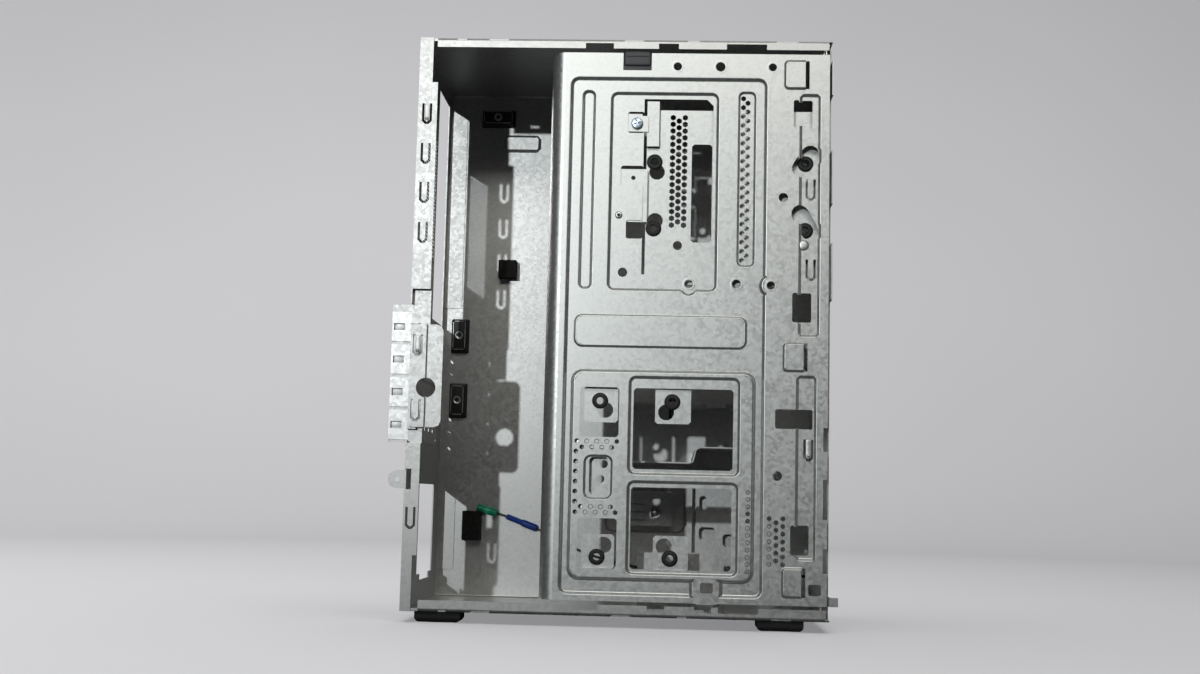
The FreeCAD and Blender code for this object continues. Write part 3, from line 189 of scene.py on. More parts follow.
def brightZinc(name):
    tone = zincSet["tones"][name]
    finish, shader, coords = newFinish(name)
    turned = coords.noise(zincSet["marks"], 2.0, 0.5)
    soil = coords.noise(zincSet["soil"], 2.0, 0.5)
    base, byTurned, bySoil = zincSet["shares"]
    colour = (base + turned * byTurned + soil * bySoil).tint(tone["dark"], tone["light"])
    rough, bySoil = zincSet["rough"]
    feed(shader, Base_Color=colour, Metallic=tone["metal"], Roughness=rough + soil * bySoil)
    feed(shader, Normal=turned.bump(*zincSet["bump"]))
    return finish


# black rubber and black coat: fine skin under dust
rubberSet = {
    "tones": {
        "blackCoat": {"dark": (0.010, 0.010, 0.011), "light": (0.030, 0.031, 0.033), "rough": 0.40},
        "black_rubber": {"dark": (0.010, 0.010, 0.011), "light": (0.034, 0.034, 0.036), "rough": 0.62},
        "grommet_rubber": {"dark": (0.008, 0.008, 0.009), "light": (0.026, 0.026, 0.028), "rough": 0.46},
    },
    "skin": 1400.0, "dust": 140.0, "dustEnds": (0.45, 0.75), "shares": (0.4, 0.5), "byDust": 0.2,
    "bump": (0.25, 0.0001),
}


def mouldedRubber(name):
    tone = rubberSet["tones"][name]
    finish, shader, coords = newFinish(name)
    skin = coords.noise(rubberSet["skin"], 2.0, 0.6)
    dust = coords.noise(rubberSet["dust"], 3.0, 0.6)
    bySkin, byDust = rubberSet["shares"]
    colour = (skin * bySkin + dust.between(*rubberSet["dustEnds"]) * byDust).tint(tone["dark"], tone["light"])
    feed(shader, Base_Color=colour, Roughness=tone["rough"] + dust * rubberSet["byDust"])
    feed(shader, Normal=skin.bump(*rubberSet["bump"]))
    return finish


# dark plastic with a sparked surface, rubbed in places
latchSet = {"dark": (0.075, 0.080, 0.086), "light": (0.165, 0.175, 0.185), "spark": 2200.0, "rubbed": 90.0,
            "shares": (0.45, 0.5), "rough": (0.42, 0.2), "bump": (0.2, 0.0001)}


def sparkedPlastic(name):
    finish, shader, coords = newFinish(name)
    spark = coords.noise(latchSet["spark"], 1.0, 0.5)
    rubbed = coords.noise(latchSet["rubbed"], 3.0, 0.6)
    bySpark, byRub = latchSet["shares"]
    colour = (spark * bySpark + rubbed * byRub).tint(latchSet["dark"], latchSet["light"])
    rough, byRub = latchSet["rough"]
    feed(shader, Base_Color=colour, Roughness=rough + rubbed * byRub)
    feed(shader, Normal=spark.bump(*latchSet["bump"]))
    return finish


# open cell foam
foamSet = {"dark": (0.003, 0.003, 0.003), "light": (0.016, 0.016, 0.016), "cells": 900.0, "dust": 230.0,
           "wallEnds": (0.15, 0.6), "shares": (0.7, 0.3), "rough": (0.8, 0.15), "bump": (0.8, 0.0004)}


def openFoam(name):
    finish, shader, coords = newFinish(name)
    pores = coords.add("TexVoronoi", {"feature": "F1"}, {"Vector": coords, "Scale": foamSet["cells"]})
    dust = coords.noise(foamSet["dust"], 3.0, 0.6)
    walls = pores.between(*foamSet["wallEnds"])
    byWall, byDust = foamSet["shares"]
    feed(shader, Base_Color=(walls * byWall + dust * byDust).tint(foamSet["dark"], foamSet["light"]))
    rough, byDust = foamSet["rough"]
    feed(shader, Roughness=rough + dust * byDust, Normal=walls.bump(*foamSet["bump"]))
    return finish


# drawn and shrunk plastic of the lead
leadSet = {
    "tones": {
        "wire_black": {"dark": (0.008, 0.008, 0.009), "light": (0.035, 0.035, 0.037)},
        "sleeve_green": {"dark": (0.002, 0.20, 0.105), "light": (0.008, 0.55, 0.30)},
        "sleeve_blue": {"dark": (0.004, 0.026, 0.20), "light": (0.014, 0.075, 0.42)},
    },
    "waves": 420.0, "scuff": 1500.0, "shares": (0.7, 0.3), "rough": (0.34, 0.16), "bump": (0.15, 0.0002),
}


def drawnPlastic(name):
    tone = leadSet["tones"][name]
    finish, shader, coords = newFinish(name)
    wavy = coords.noise(leadSet["waves"], 2.0, 0.5)
    scuff = coords.noise(leadSet["scuff"], 2.0, 0.6)
    byWave, byScuff = leadSet["shares"]
    colour = (wavy * byWave + scuff * byScuff).tint(tone["dark"], tone["light"])
    rough, byScuff = leadSet["rough"]
    feed(shader, Base_Color=colour, Roughness=rough + scuff * byScuff)
    feed(shader, Normal=wavy.bump(*leadSet["bump"]))
    return finish


finishes = {name: galvanised(name) for name in steelSet["tones"]}
for name in zincSet["tones"]:
    finishes[name] = brightZinc(name)
for name in rubberSet["tones"]:
    finishes[name] = mouldedRubber(name)
finishes["latch_plastic"] = sparkedPlastic("latch_plastic")
finishes["black_foam"] = openFoam("black_foam")
for name in leadSet["tones"]:
    finishes[name] = drawnPlastic(name)
nodeFinish = {"card_retainer": "panel_steel"}  # nodes that look unlike their slot
for index in range(1, 5):
    nodeFinish[f"slot_cover_{index}"] = "coverSteel"
for subpart in frame["record"]["subparts"]:
    node = frame["nodes"][subpart["node"]]
    if not node.material_slots:
        node.data.materials.append(None)
    for slot in node.material_slots:
        slot.material = finishes[nodeFinish.get(subpart["node"], subpart["material_slot"])]
print("finishes on", len(frame["nodes"]), "nodes")


# stands a shape drawn in millimetres (u along the case, v up, w out of the open side) in its place
def seat(shape, verts, x, y, z, turn=0.0):
    lay = Matrix.Rotation(math.pi / 2, 4, "X") @ Matrix.Rotation(turn, 4, "Z")
    move = Matrix.Translation(at(x, y, z)) @ lay @ Matrix.Scale(bench["scale"], 4)
    bmesh.ops.transform(shape, matrix=move, verts=verts)


# turns a profile of (radius, height) about w
def lathe(shape, profile, steps, closed=False):
    old = set(shape.verts)
    corners = [shape.verts.new((radius, 0.0, height)) for radius, height in profile]
    pairs = list(zip(corners, corners[1:]))
    if closed:
        pairs.append((corners[-1], corners[0]))
    edges = [shape.edges.new(pair) for pair in pairs]
    bmesh.ops.spin(shape, geom=corners + edges, cent=(0.0, 0.0, 0.0), axis=(0.0, 0.0, 1.0),
                   angle=2 * math.pi, steps=steps, use_merge=True)
    return [v for v in shape.verts if v not in old]


# a block with eased edges, its middle at the origin
def easedBlock(shape, width, height, depth, ease, segments=3):
    old = set(shape.verts)
    made = bmesh.ops.create_cube(shape, size=1.0)["verts"]
    bmesh.ops.scale(shape, vec=(width, height, depth), verts=made)
    edges = list(dict.fromkeys(e for v in made for e in v.link_edges))
    bmesh.ops.bevel(shape, geom=edges, offset=ease, affect="EDGES", segments=segments, profile=0.5, material=-1)
    return [v for v in shape.verts if v not in old]


def keepPiece(name, shape, body, slot, finish=None, sharp=40.0):
    bmesh.ops.remove_doubles(shape, verts=shape.verts, dist=bench["weld"])
    bmesh.ops.recalc_face_normals(shape, faces=shape.faces)
    mesh = bpy.data.meshes.new(name)
    shape.to_mesh(mesh)
    shape.free()
    mesh.shade_smooth()
    mesh.set_sharp_from_angle(angle=math.radians(sharp))
    mesh.materials.append(finish or finishes[slot])
    piece = bpy.data.objects.new(name, mesh)
    bpy.context.scene.collection.objects.link(piece)
    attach(piece, body)
    return piece


# rubber rings in the drive tabs and the deck
grommetSet = {
    "profile": ((2.2, -0.8), (2.2, 0.75), (2.45, 1.0), (3.4, 1.06), (4.5, 0.95), (4.95, 0.55), (4.95, 0.02),
                (3.45, 0.02), (3.45, -0.8)),
    "steps": 36,
    "spots": ((118.4, 7.5, 130.45), (162.85, 7.5, 130.45), (118.4, 7.5, 35.2), (162.85, 7.5, 35.2),
              (149.1, 11.0, 281.6), (243.5, 11.0, 281.6), (149.1, 11.0, 239.2), (243.5, 11.0, 239.2)),
}


def driveRings():
    shape = bmesh.new()
    for x, y, z in grommetSet["spots"]:
        seat(shape, lathe(shape, grommetSet["profile"], grommetSet["steps"], closed=True), x, y, z)
    piece = keepPiece("driveRings", shape, "bracket", "grommet_rubber")
    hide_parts("drive_grommets")


driveRings()

# pan head screw with a cross recess
screwSet = {"spot": (137.7, 6.0, 304.9), "radius": 3.6, "crown": 0.45, "edge": 1.45, "cells": 14, "arm": 0.68,
            "width": 0.16, "recess": 1.5, "wall": 0.05, "shank": 1.45, "length": 1.6, "turn": 0.35}


def deckScrew():
    shape = bmesh.new()
    size = screwSet["radius"]
    made = bmesh.ops.create_grid(shape, x_segments=screwSet["cells"], y_segments=screwSet["cells"], size=1.0)["verts"]
    arms = []
    for face in shape.faces:
        u, v = abs(face.calc_center_median().x), abs(face.calc_center_median().y)
        if min(u, v) < screwSet["width"] and max(u, v) < screwSet["arm"]:
            arms.append(face)
    for v in made:  # square grid to a crowned disc
        u, w = v.co.x, v.co.y
        v.co.x, v.co.y = u * math.sqrt(1 - w * w / 2), w * math.sqrt(1 - u * u / 2)
        v.co.z = screwSet["edge"] + screwSet["crown"] * math.sqrt(max(0.0, 1 - v.co.xy.length_squared))
    bmesh.ops.scale(shape, vec=(size, size, 1.0), verts=made)
    rim = [e for e in shape.edges if e.is_boundary]
    for drop, factor in ((screwSet["edge"], 1.0), (0.0, screwSet["shank"] / size), (screwSet["length"], 1.0)):
        grown = bmesh.ops.extrude_edge_only(shape, edges=rim)["geom"]
        moved = [v for v in grown if isinstance(v, bmesh.types.BMVert)]
        bmesh.ops.scale(shape, vec=(factor, factor, 1.0), verts=moved)
        bmesh.ops.translate(shape, vec=(0.0, 0.0, -drop), verts=moved)
        rim = [e for e in grown if isinstance(e, bmesh.types.BMEdge)]
    bmesh.ops.inset_region(shape, faces=arms, thickness=screwSet["wall"], depth=-screwSet["recess"],
                           use_even_offset=True)
    bmesh.ops.holes_fill(shape, edges=[e for e in shape.edges if e.is_boundary], sides=0)
    seat(shape, shape.verts[:], *screwSet["spot"], turn=screwSet["turn"])
    piece = keepPiece("deckScrew", shape, "bracket", "fastener_zinc", finishes["blueZinc"])
    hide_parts("deck_screw")


deckScrew()

# rivets: a hollow one on the deck, three round heads inside the case
rivetSet = {
    "hollow": ((0.9, -1.6), (0.9, 0.55), (1.15, 0.85), (1.7, 0.86), (2.2, 0.5), (2.32, 0.0), (1.45, 0.0),
               (1.45, -1.6)),
    "hollowSpot": (127.4, 6.0, 246.5),
    "dome": ((1.0, 0.0), (0.98, 0.35), (0.85, 0.68), (0.55, 0.93), (0.0, 1.0)),
    "domes": ((136.0, 132.4, 89.3, 2.4, 0.9), (164.0, 132.4, 89.3, 2.4, 0.9), (152.9, 134.7, 62.0, 3.0, 2.2)),
    "steps": 28,
}


def rivets():
    shape = bmesh.new()
    seat(shape, lathe(shape, rivetSet["hollow"], rivetSet["steps"], closed=True), *rivetSet["hollowSpot"])
    piece = keepPiece("deckRivet", shape, "bracket", "fastener_zinc")
    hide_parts("deck_rivet")
    shape = bmesh.new()
    for x, y, z, radius, height in rivetSet["domes"]:
        profile = [(radius * r, height * h) for r, h in rivetSet["dome"]]
        verts = lathe(shape, profile, rivetSet["steps"])
        seat(shape, verts, x, y, z)
    piece = keepPiece("caseRivets", shape, "chassis", "fastener_zinc")
    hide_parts("chassis_rivets")


rivets()

# drawn rims round the plate's holes: x, y of the face, z, hole radius
rimSet = {
    "spots": ((162.6, 3.0, 341.2, 2.7), (189.4, 3.0, 341.2, 3.1), (222.0, 3.0, 341.2, 2.6), (222.2, 3.0, 203.3, 2.6),
              (171.7, 6.0, 203.7, 2.8), (201.1, 4.6, 204.0, 2.9)),
    "shape": ((-0.04, -0.5), (-0.04, 0.02), (0.3, 0.05), (0.7, 0.03), (1.2, 0.0)),
    "steps": 36,
    "dimple": (242.1, 4.4, 228.9), "dimpleShape": ((3.4, 0.0), (3.1, 0.3), (2.2, 0.55), (1.0, 0.62), (0.0, 0.63)),
}


def plateRims():
    shape = bmesh.new()
    for x, y, z, radius in rimSet["spots"]:
        profile = [(radius + step, height) for step, height in rimSet["shape"]]
        seat(shape, lathe(shape, profile, rimSet["steps"]), x, y, z)
    seat(shape, lathe(shape, rimSet["dimpleShape"], rimSet["steps"]), *rimSet["dimple"])
    keepPiece("plateRims", shape, "bracket", "bracket_steel")


plateRims()

# thin doubler strips a little behind the perforations round the small frame
stripSet = {"level": 7.2, "thick": 0.6, "ease": 0.15, "segments": 2,
            "strips": ((111.4, 103.6, 20.0, 9.0), (111.4, 63.9, 20.0, 8.6), (104.6, 83.75, 6.4, 30.9)),
            "web": (101.7, 6.2, 83.75), "webSize": (0.8, 30.9, 2.4)}


def doublerStrips():
    shape = bmesh.new()
    for x, z, width, height in stripSet["strips"]:
        block = easedBlock(shape, width, height, stripSet["thick"], stripSet["ease"], stripSet["segments"])
        seat(shape, block, x, stripSet["level"], z)
    web = easedBlock(shape, *stripSet["webSize"], stripSet["ease"], stripSet["segments"])
    seat(shape, web, *stripSet["web"])
    keepPiece("doublerStrips", shape, "bracket", "bracket_steel")


doublerStrips()

# rings round the plate's small perforations, in a dark finish that is painted shade inside the holes: first spot,
# step, count
holeShadeSet = {
    "level": 3.0, "radius": 1.55, "steps": 12,
    "shape": ((0.06, 0.015), (-0.06, -0.1), (-0.36, -0.45), (-0.4, -0.74)),
    "rows": (((104.8, 105.4), (6.15, 0.0), 5), ((104.8, 62.2), (6.15, 0.0), 5), ((108.0, 101.7), (6.15, 0.0), 4),
             ((108.0, 65.6), (6.15, 0.0), 4), ((104.4, 99.1), (0.0, -6.1), 6), ((209.6, 76.3), (0.0, -4.33), 12),
             ((222.6, 60.8), (0.0, -4.57), 7), ((230.9, 60.8), (0.0, -4.57), 7), ((226.8, 58.5), (0.0, -4.57), 6)),
}


def holeShadeRings():
    shape = bmesh.new()
    profile = [(holeShadeSet["radius"] + step, height) for step, height in holeShadeSet["shape"]]
    for (x, z), (right, rise), count in holeShadeSet["rows"]:
        for spot in range(count):
            seat(shape, lathe(shape, profile, holeShadeSet["steps"]), x + right * spot, holeShadeSet["level"], z + rise * spot)
    # the rings take the dark finish: painted shade in the holes
    keepPiece("holeShadeRings", shape, "bracket", "bracket_steel", finishes["holeShadeSteel"])


holeShadeRings()

# rolled walls of the plate's embosses: corner, depth into the case, bounds along and up the plate, open stretches
beadSet = {
    "origin": (83.4, 9.0), "turns": 8, "step": 3.0, "lift": 0.02, "foot": 0.331, "spread": 1.3, "sharp": 75.0,
    "profile": ((0.0, 0.0), (0.2, 0.012), (0.4, 0.09), (0.55, 0.27), (0.68, 0.52), (0.82, 0.76), (1.0, 0.92),
                (1.28, 1.0)),
    "outlines": (
        {"box": (11.6, 136.1, 3.0, 325.6), "corner": 6.0, "level": 3.0, "depth": 1.6,
         "open": ((92.9, 110.1, -5.0, 8.0), (130.0, 140.0, 188.3, 200.3))},
        {"box": (18.2, 129.0, 13.4, 139.6), "corner": 6.0, "level": 4.6, "depth": -1.6,
         "open": ((92.3, 110.7, 8.0, 18.0),)},
        {"box": (92.6, 110.4, -2.0, 15.5), "corner": 4.0, "level": 4.6, "depth": -1.6,
         "open": ((80.0, 120.0, -9.0, 3.8), (80.0, 120.0, 13.0, 20.0))},
        {"box": (132.6, 145.0, 188.1, 200.5), "corner": 6.1, "level": 4.6, "depth": -1.6,
         "open": ((135.7, 150.0, 180.0, 210.0),)},
        {"box": (19.2, 123.2, 155.7, 173.7), "corner": 4.0, "level": 4.6, "depth": -0.7, "spread": 2.2},
        {"box": (37.1, 106.1, 189.3, 316.4), "corner": 5.0, "level": 4.6, "depth": 1.4,
         "open": ((83.4, 93.2, 185.0, 193.0),)},
        {"box": (83.0, 93.6, 186.6, 200.6), "corner": 5.2, "level": 4.6, "depth": 1.4,
         "open": ((80.0, 97.0, 189.4, 210.0),)},
        {"box": (19.2, 28.8, 190.0, 317.4), "corner": 4.2, "level": 4.6, "depth": 1.4},
        {"box": (117.1, 129.1, 205.4, 317.3), "corner": 4.0, "level": 4.6, "depth": 1.4, "spread": 1.0},
        {"box": (52.1, 121.5, 75.8, 137.4), "corner": 5.0, "level": 3.0, "depth": 1.4},
        {"box": (52.2, 121.1, 15.6, 73.5), "corner": 5.0, "level": 3.0, "depth": 1.4},
        {"box": (25.6, 44.2, 60.6, 88.5), "corner": 5.0, "level": 3.0, "depth": 1.4, "spread": 1.0},
        {"box": (155.1, 169.2, 162.3, 315.9), "corner": 3.0, "level": 3.0, "depth": 1.4,
         "open": ((151.0, 163.6, 294.0, 311.4), (151.0, 163.7, 171.8, 190.0), (150.0, 158.9, 262.0, 275.6),
                  (164.0, 169.4, 272.6, 281.0), (150.0, 158.0, 232.6, 245.4), (165.4, 169.4, 223.6, 233.6))},
        {"box": (154.3, 167.8, 26.4, 139.5), "corner": 3.0, "level": 3.0, "depth": 1.4,
         "open": ((142.0, 165.0, 106.3, 118.2), (151.0, 163.2, 30.2, 48.1))},
        {"box": (146.6, 161.1, 318.9, 336.0), "corner": 2.0, "level": 3.0, "depth": -1.2,
         "open": ((158.7, 165.0, 310.0, 345.0),)},
        {"box": (147.2, 161.2, 141.9, 158.4), "corner": 2.0, "level": 3.0, "depth": -1.2,
         "open": ((158.8, 165.0, 135.0, 165.0),)},
        {"box": (147.6, 160.9, 5.4, 22.0), "corner": 2.0, "level": 3.0, "depth": -1.2,
         "open": ((158.5, 165.0, 0.0, 30.0),)},
    ),
}


# points round a box with turned corners: a place on its inner core and the way out from there
def roundTrip(x0, x1, z0, z1, corner):
    x0, x1, z0, z1 = x0 + corner, x1 - corner, z0 + corner, z1 - corner
    cores = ((x1, z1), (x0, z1), (x0, z0), (x1, z0))
    trip = []
    for index, (x, z) in enumerate(cores):
        for turn in range(beadSet["turns"] + 1):
            angle = (index + turn / beadSet["turns"]) * math.pi / 2
            trip.append((x, z, math.cos(angle), math.sin(angle)))
        following = cores[(index + 1) % 4]
        parts = max(1, math.ceil(math.dist((x, z), following) / beadSet["step"]))
        for part in range(1, parts):
            share = part / parts
            trip.append((x + (following[0] - x) * share, z + (following[1] - z) * share, *trip[-1][2:]))
    return trip + trip[:1]


def rolledWalls():
    shape = bmesh.new()
    profile = beadSet["profile"]
    left, low = beadSet["origin"]
    for outline in beadSet["outlines"]:
        depth, spread = abs(outline["depth"]), outline.get("spread", beadSet["spread"])
        trip = roundTrip(*outline["box"], outline["corner"])
        made = bmesh.ops.create_grid(shape, x_segments=len(trip) - 1, y_segments=len(profile) - 1, size=0.5)["verts"]
        for v in made:
            x, z, outX, outZ = trip[round((v.co.x + 0.5) * (len(trip) - 1))]
            row = round((v.co.y + 0.5) * (len(profile) - 1))
            run, drop = profile[row]
            reach = outline["corner"] - run * spread * depth
            top = outline["level"]
            if outline["depth"] < 0:  # pressed out: the wall falls away outwards
                reach = outline["corner"] + beadSet["foot"] - depth + run * spread * depth
                top -= depth
            lift = beadSet["lift"] if 0 < row < len(profile) - 1 else -beadSet["lift"]
            v.co = (x + outX * reach, top + drop * depth - lift, z + outZ * reach)
        gone = []
        for face in dict.fromkeys(f for v in made for f in v.link_faces):
            middle = face.calc_center_median()
            if any(x0 < middle.x < x1 and z0 < middle.z < z1 for x0, x1, z0, z1 in outline.get("open", ())):
                gone.append(face)
        bmesh.ops.delete(shape, geom=gone, context="FACES")
    bmesh.ops.transform(shape, verts=shape.verts,
                        matrix=Matrix.Translation(at(left, 0.0, low)) @ Matrix.Scale(bench["scale"], 4))
    keepPiece("rolledWalls", shape, "bracket", "bracket_steel", sharp=beadSet["sharp"])


rolledWalls()

# tapped rims on the board stand-offs
standoffSet = {
    "spots": ((35.56, 339.9), (167.64, 339.9), (12.7, 182.42), (12.7, 136.7), (167.64, 182.42), (167.64, 136.7)),
    "level": 126.5, "steps": 30,
    "shape": ((1.58, -1.2), (1.58, 0.6), (1.85, 0.8), (2.55, 0.8), (2.9, 0.5), (3.0, 0.0)),
}


def standoffRims():
    shape = bmesh.new()
    for x, z in standoffSet["spots"]:
        seat(shape, lathe(shape, standoffSet["shape"], standoffSet["steps"]), x, standoffSet["level"], z)
    keepPiece("standoffRims", shape, "chassis", "fastener_zinc")


standoffRims()

# black coat on the board stand-offs: foot and top sizes, those near the top lie across
coatSet = {"foot": (12.7, 24.3), "top": (8.7, 20.3), "height": 6.85, "floor": 133.2, "ease": 0.9, "segments": 4,
           "across": 300.0, "clear": 0.1}


def standoffCoats():
    shape = bmesh.new()
    for x, z in standoffSet["spots"]:
        old = set(shape.verts)
        made = bmesh.ops.create_cube(shape, size=1.0)["verts"]
        for v in made:
            wide, tall = coatSet["top"] if v.co.z > 0 else coatSet["foot"]
            v.co = (v.co.x * wide, v.co.y * tall, (v.co.z + 0.5) * coatSet["height"])
        edges = dict.fromkeys(e for v in made for e in v.link_edges)
        edges = [e for e in edges if max(v.co.z for v in e.verts) > coatSet["clear"]]
        bmesh.ops.bevel(shape, geom=edges, offset=coatSet["ease"], affect="EDGES", segments=coatSet["segments"],
                        profile=0.5, material=-1)
        turn = math.pi / 2 if z > coatSet["across"] else 0.0
        seat(shape, [v for v in shape.verts if v not in old], x, coatSet["floor"], z, turn)
    keepPiece("standoffCoats", shape, "chassis", "latch_plastic", finishes["blackCoat"])


standoffCoats()

# pressed tongues of the spring fingers, each with a contact dimple at its free end
tongueSet = {
    "width": 2.9, "length": 11.3, "thick": 0.6, "ease": 0.22, "cuts": 9, "spring": 0.35, "longEdge": 4.0,
    "tip": 0.93, "narrow": 0.72, "sink": 0.2, "dimpleLift": 0.1, "dimpleSpring": 0.75,
    "dimple": ((1.15, 0.0), (1.0, 0.32), (0.6, 0.52), (0.0, 0.6)), "end": 1.8, "steps": 20,
    "spots": {
        "chassis": ("panel_steel", ((5.75, 0.0, 51.2), (5.75, 0.0, 227.6), (5.75, 0.0, 252.9), (5.75, 0.0, 277.8),
                                    (5.75, 0.0, 303.3))),
        "retainer": ("panel_steel", ((5.35, 0.0, 116.8), (5.35, 0.0, 157.0))),
        "bracket": ("bracket_steel", ((246.15, 4.4, 258.8), (246.55, 4.4, 208.5), (246.05, 4.4, 97.6))),
    },
}


def springTongues(body):
    slot, spots = tongueSet["spots"][body]
    shape = bmesh.new()
    long, end = tongueSet["length"], tongueSet["end"]
    for x, y, z in spots:
        old = set(shape.verts)
        verts = easedBlock(shape, tongueSet["width"], long, tongueSet["thick"], tongueSet["ease"])
        edges = dict.fromkeys(e for v in verts for e in v.link_edges)
        edges = [e for e in edges if abs((e.verts[0].co - e.verts[1].co).y) > tongueSet["longEdge"]]
        bmesh.ops.subdivide_edges(shape, edges=edges, cuts=tongueSet["cuts"])
        verts = [v for v in shape.verts if v not in old]
        for v in verts:
            free = 0.5 - v.co.y / long  # 1 at the free end
            v.co.z += tongueSet["spring"] * free * free
            if free > tongueSet["tip"]:
                v.co.x *= tongueSet["narrow"]
        bmesh.ops.translate(shape, vec=(0.0, long / 2, -tongueSet["sink"]), verts=verts)
        dome = lathe(shape, tongueSet["dimple"], tongueSet["steps"])
        rise = tongueSet["dimpleLift"] + tongueSet["spring"] * tongueSet["dimpleSpring"]
        bmesh.ops.translate(shape, vec=(0.0, end, rise), verts=dome)
        seat(shape, verts + dome, x, y, z)
    keepPiece("tongues_" + body, shape, body, slot)


for body in tongueSet["spots"]:
    springTongues(body)

# rolled hinge edge of the card retainer and the strip behind its fingers
retainerSet = {"lip": (0.95, 2.9, 143.3, 0.6, 60.0, 4.4), "backing": ((5.35, 1.35, 121.7), (5.35, 1.35, 161.9)),
               "size": (6.6, 14.6, 0.5), "ease": 0.18}


def retainerEdge():
    shape = bmesh.new()
    x, y, z, width, height, depth = retainerSet["lip"]
    seat(shape, easedBlock(shape, width, height, depth, retainerSet["ease"]), x, y, z)
    for spot in retainerSet["backing"]:
        seat(shape, easedBlock(shape, *retainerSet["size"], retainerSet["ease"]), *spot)
    keepPiece("retainerEdge", shape, "retainer", "panel_steel")


retainerEdge()

# lugs behind the windows of the slot covers' bent ends
lugSet = {"first": (-7.65, 9.05, 174.1), "pitch": 20.32, "count": 4, "size": (8.4, 6.0, 0.8), "ease": 0.2}


def coverLugs():
    shape = bmesh.new()
    x, y, z = lugSet["first"]
    for slot in range(lugSet["count"]):
        block = easedBlock(shape, *lugSet["size"], lugSet["ease"])
        seat(shape, block, x, y, z - slot * lugSet["pitch"])
    keepPiece("coverLugs", shape, "chassis", "panel_steel")


coverLugs()

# perforated vent screen behind the rear opening
ventSet = {"pitch": 2.9, "hole": 1.08, "sides": 12, "thick": 0.22, "box": (0.8, 21.5, 76.5, 225.0, 312.0),
           "margin": 0.6, "weld": 1e-3}


def copyAlong(shape, first, vec):
    copied = bmesh.ops.duplicate(shape, geom=first)["geom"]
    bmesh.ops.translate(shape, vec=vec, verts=[v for v in copied if isinstance(v, bmesh.types.BMVert)])


def ventScreen():
    x0, y0, y1, z0, z1 = ventSet["box"]
    edge = ventSet["margin"]
    pitch = ventSet["pitch"]
    rise = pitch * math.sqrt(3) / 2
    shape = bmesh.new()
    bmesh.ops.create_circle(shape, segments=6, radius=pitch / math.sqrt(3))
    bmesh.ops.subdivide_edges(shape, edges=shape.edges[:], cuts=1)
    bmesh.ops.create_circle(shape, segments=ventSet["sides"], radius=ventSet["hole"])
    bmesh.ops.bridge_loops(shape, edges=shape.edges[:])
    columns, rows = int((y1 - y0) / pitch) + 3, int((z1 - z0) / rise) + 3
    first = shape.verts[:] + shape.edges[:] + shape.faces[:]
    for column in range(1, columns):
        copyAlong(shape, first, (column * pitch, 0.0, 0.0))
    first = shape.verts[:] + shape.edges[:] + shape.faces[:]
    for row in range(1, rows):
        copyAlong(shape, first, ((row % 2) * pitch / 2, row * rise, 0.0))
    bmesh.ops.remove_doubles(shape, verts=shape.verts, dist=ventSet["weld"])
    wide, tall = y1 - y0, z1 - z0
    for place, normal in (((edge, 0, 0), (-1, 0, 0)), ((edge + wide, 0, 0), (1, 0, 0)),
                          ((0, edge, 0), (0, -1, 0)), ((0, edge + tall, 0), (0, 1, 0))):
        everything = shape.verts[:] + shape.edges[:] + shape.faces[:]
        bmesh.ops.bisect_plane(shape, geom=everything, plane_co=place, plane_no=normal, clear_outer=True)
    turn = Matrix(((0, 0, 1, 0), (1, 0, 0, 0), (0, 1, 0, 0), (0, 0, 0, 1)))  # u to y, v to z
    move = Matrix.Translation(at(x0, y0 - edge, z0 - edge)) @ turn @ Matrix.Scale(bench["scale"], 4)
    bmesh.ops.transform(shape, matrix=move, verts=shape.verts)
    bmesh.ops.recalc_face_normals(shape, faces=shape.faces)
    bmesh.ops.solidify(shape, geom=shape.faces[:], thickness=ventSet["thick"] * bench["scale"])
    piece = keepPiece("ventScreen", shape, "chassis", "panel_steel")
    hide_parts("vent_screen")


ventScreen()

# cut foam blocks stuck on the closed side: slightly puffed, torn skin
foamBlocks = {
    "foam_pad_upper": {"spot": (45.4, 133.2, 230.2), "size": (12.4, 12.4, 8.0)},
    "foam_pad_lower": {"spot": (25.7, 133.2, 49.6), "size": (12.6, 20.0, 8.0)},
    "cuts": 15, "soften": 0.5, "puff": 0.1, "torn": 0.16, "grain": 1.1, "shrink": 0.2, "side": 0.42,
    "top": 0.4, "sole": 0.45,
}


def foamBlock(node):
    width, height, depth = foamBlocks[node]["size"]
    shape = bmesh.new()
    made = bmesh.ops.create_cube(shape, size=1.0)["verts"]
    bmesh.ops.scale(shape, vec=(width, height, depth), verts=made)
    bmesh.ops.subdivide_edges(shape, edges=shape.edges[:], cuts=foamBlocks["cuts"], use_grid_fill=True)
    bmesh.ops.smooth_vert(shape, verts=shape.verts, factor=foamBlocks["soften"],
                          use_axis_x=True, use_axis_y=True, use_axis_z=True)
    for v in shape.verts:
        out = 1 - abs(v.co.z) / depth  # fuller half way up
        ripple = noise.noise(v.co * foamBlocks["grain"]) * foamBlocks["torn"]
        swell = foamBlocks["puff"] * out + ripple - foamBlocks["shrink"]
        v.co.x += math.copysign(swell, v.co.x) * (abs(v.co.x) > width * foamBlocks["side"])
        v.co.y += math.copysign(swell, v.co.y) * (abs(v.co.y) > height * foamBlocks["side"])
        if v.co.z > depth * foamBlocks["top"]:
            v.co.z += ripple
        if v.co.z < -depth * foamBlocks["sole"]:
            v.co.z = -depth / 2
    bmesh.ops.translate(shape, vec=(0.0, 0.0, depth / 2), verts=shape.verts)
    seat(shape, shape.verts[:], *foamBlocks[node]["spot"])
    piece = keepPiece(node + "_cut", shape, "chassis", "black_foam")
    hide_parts(node)


for node in ("foam_pad_upper", "foam_pad_lower"):
    foamBlock(node)

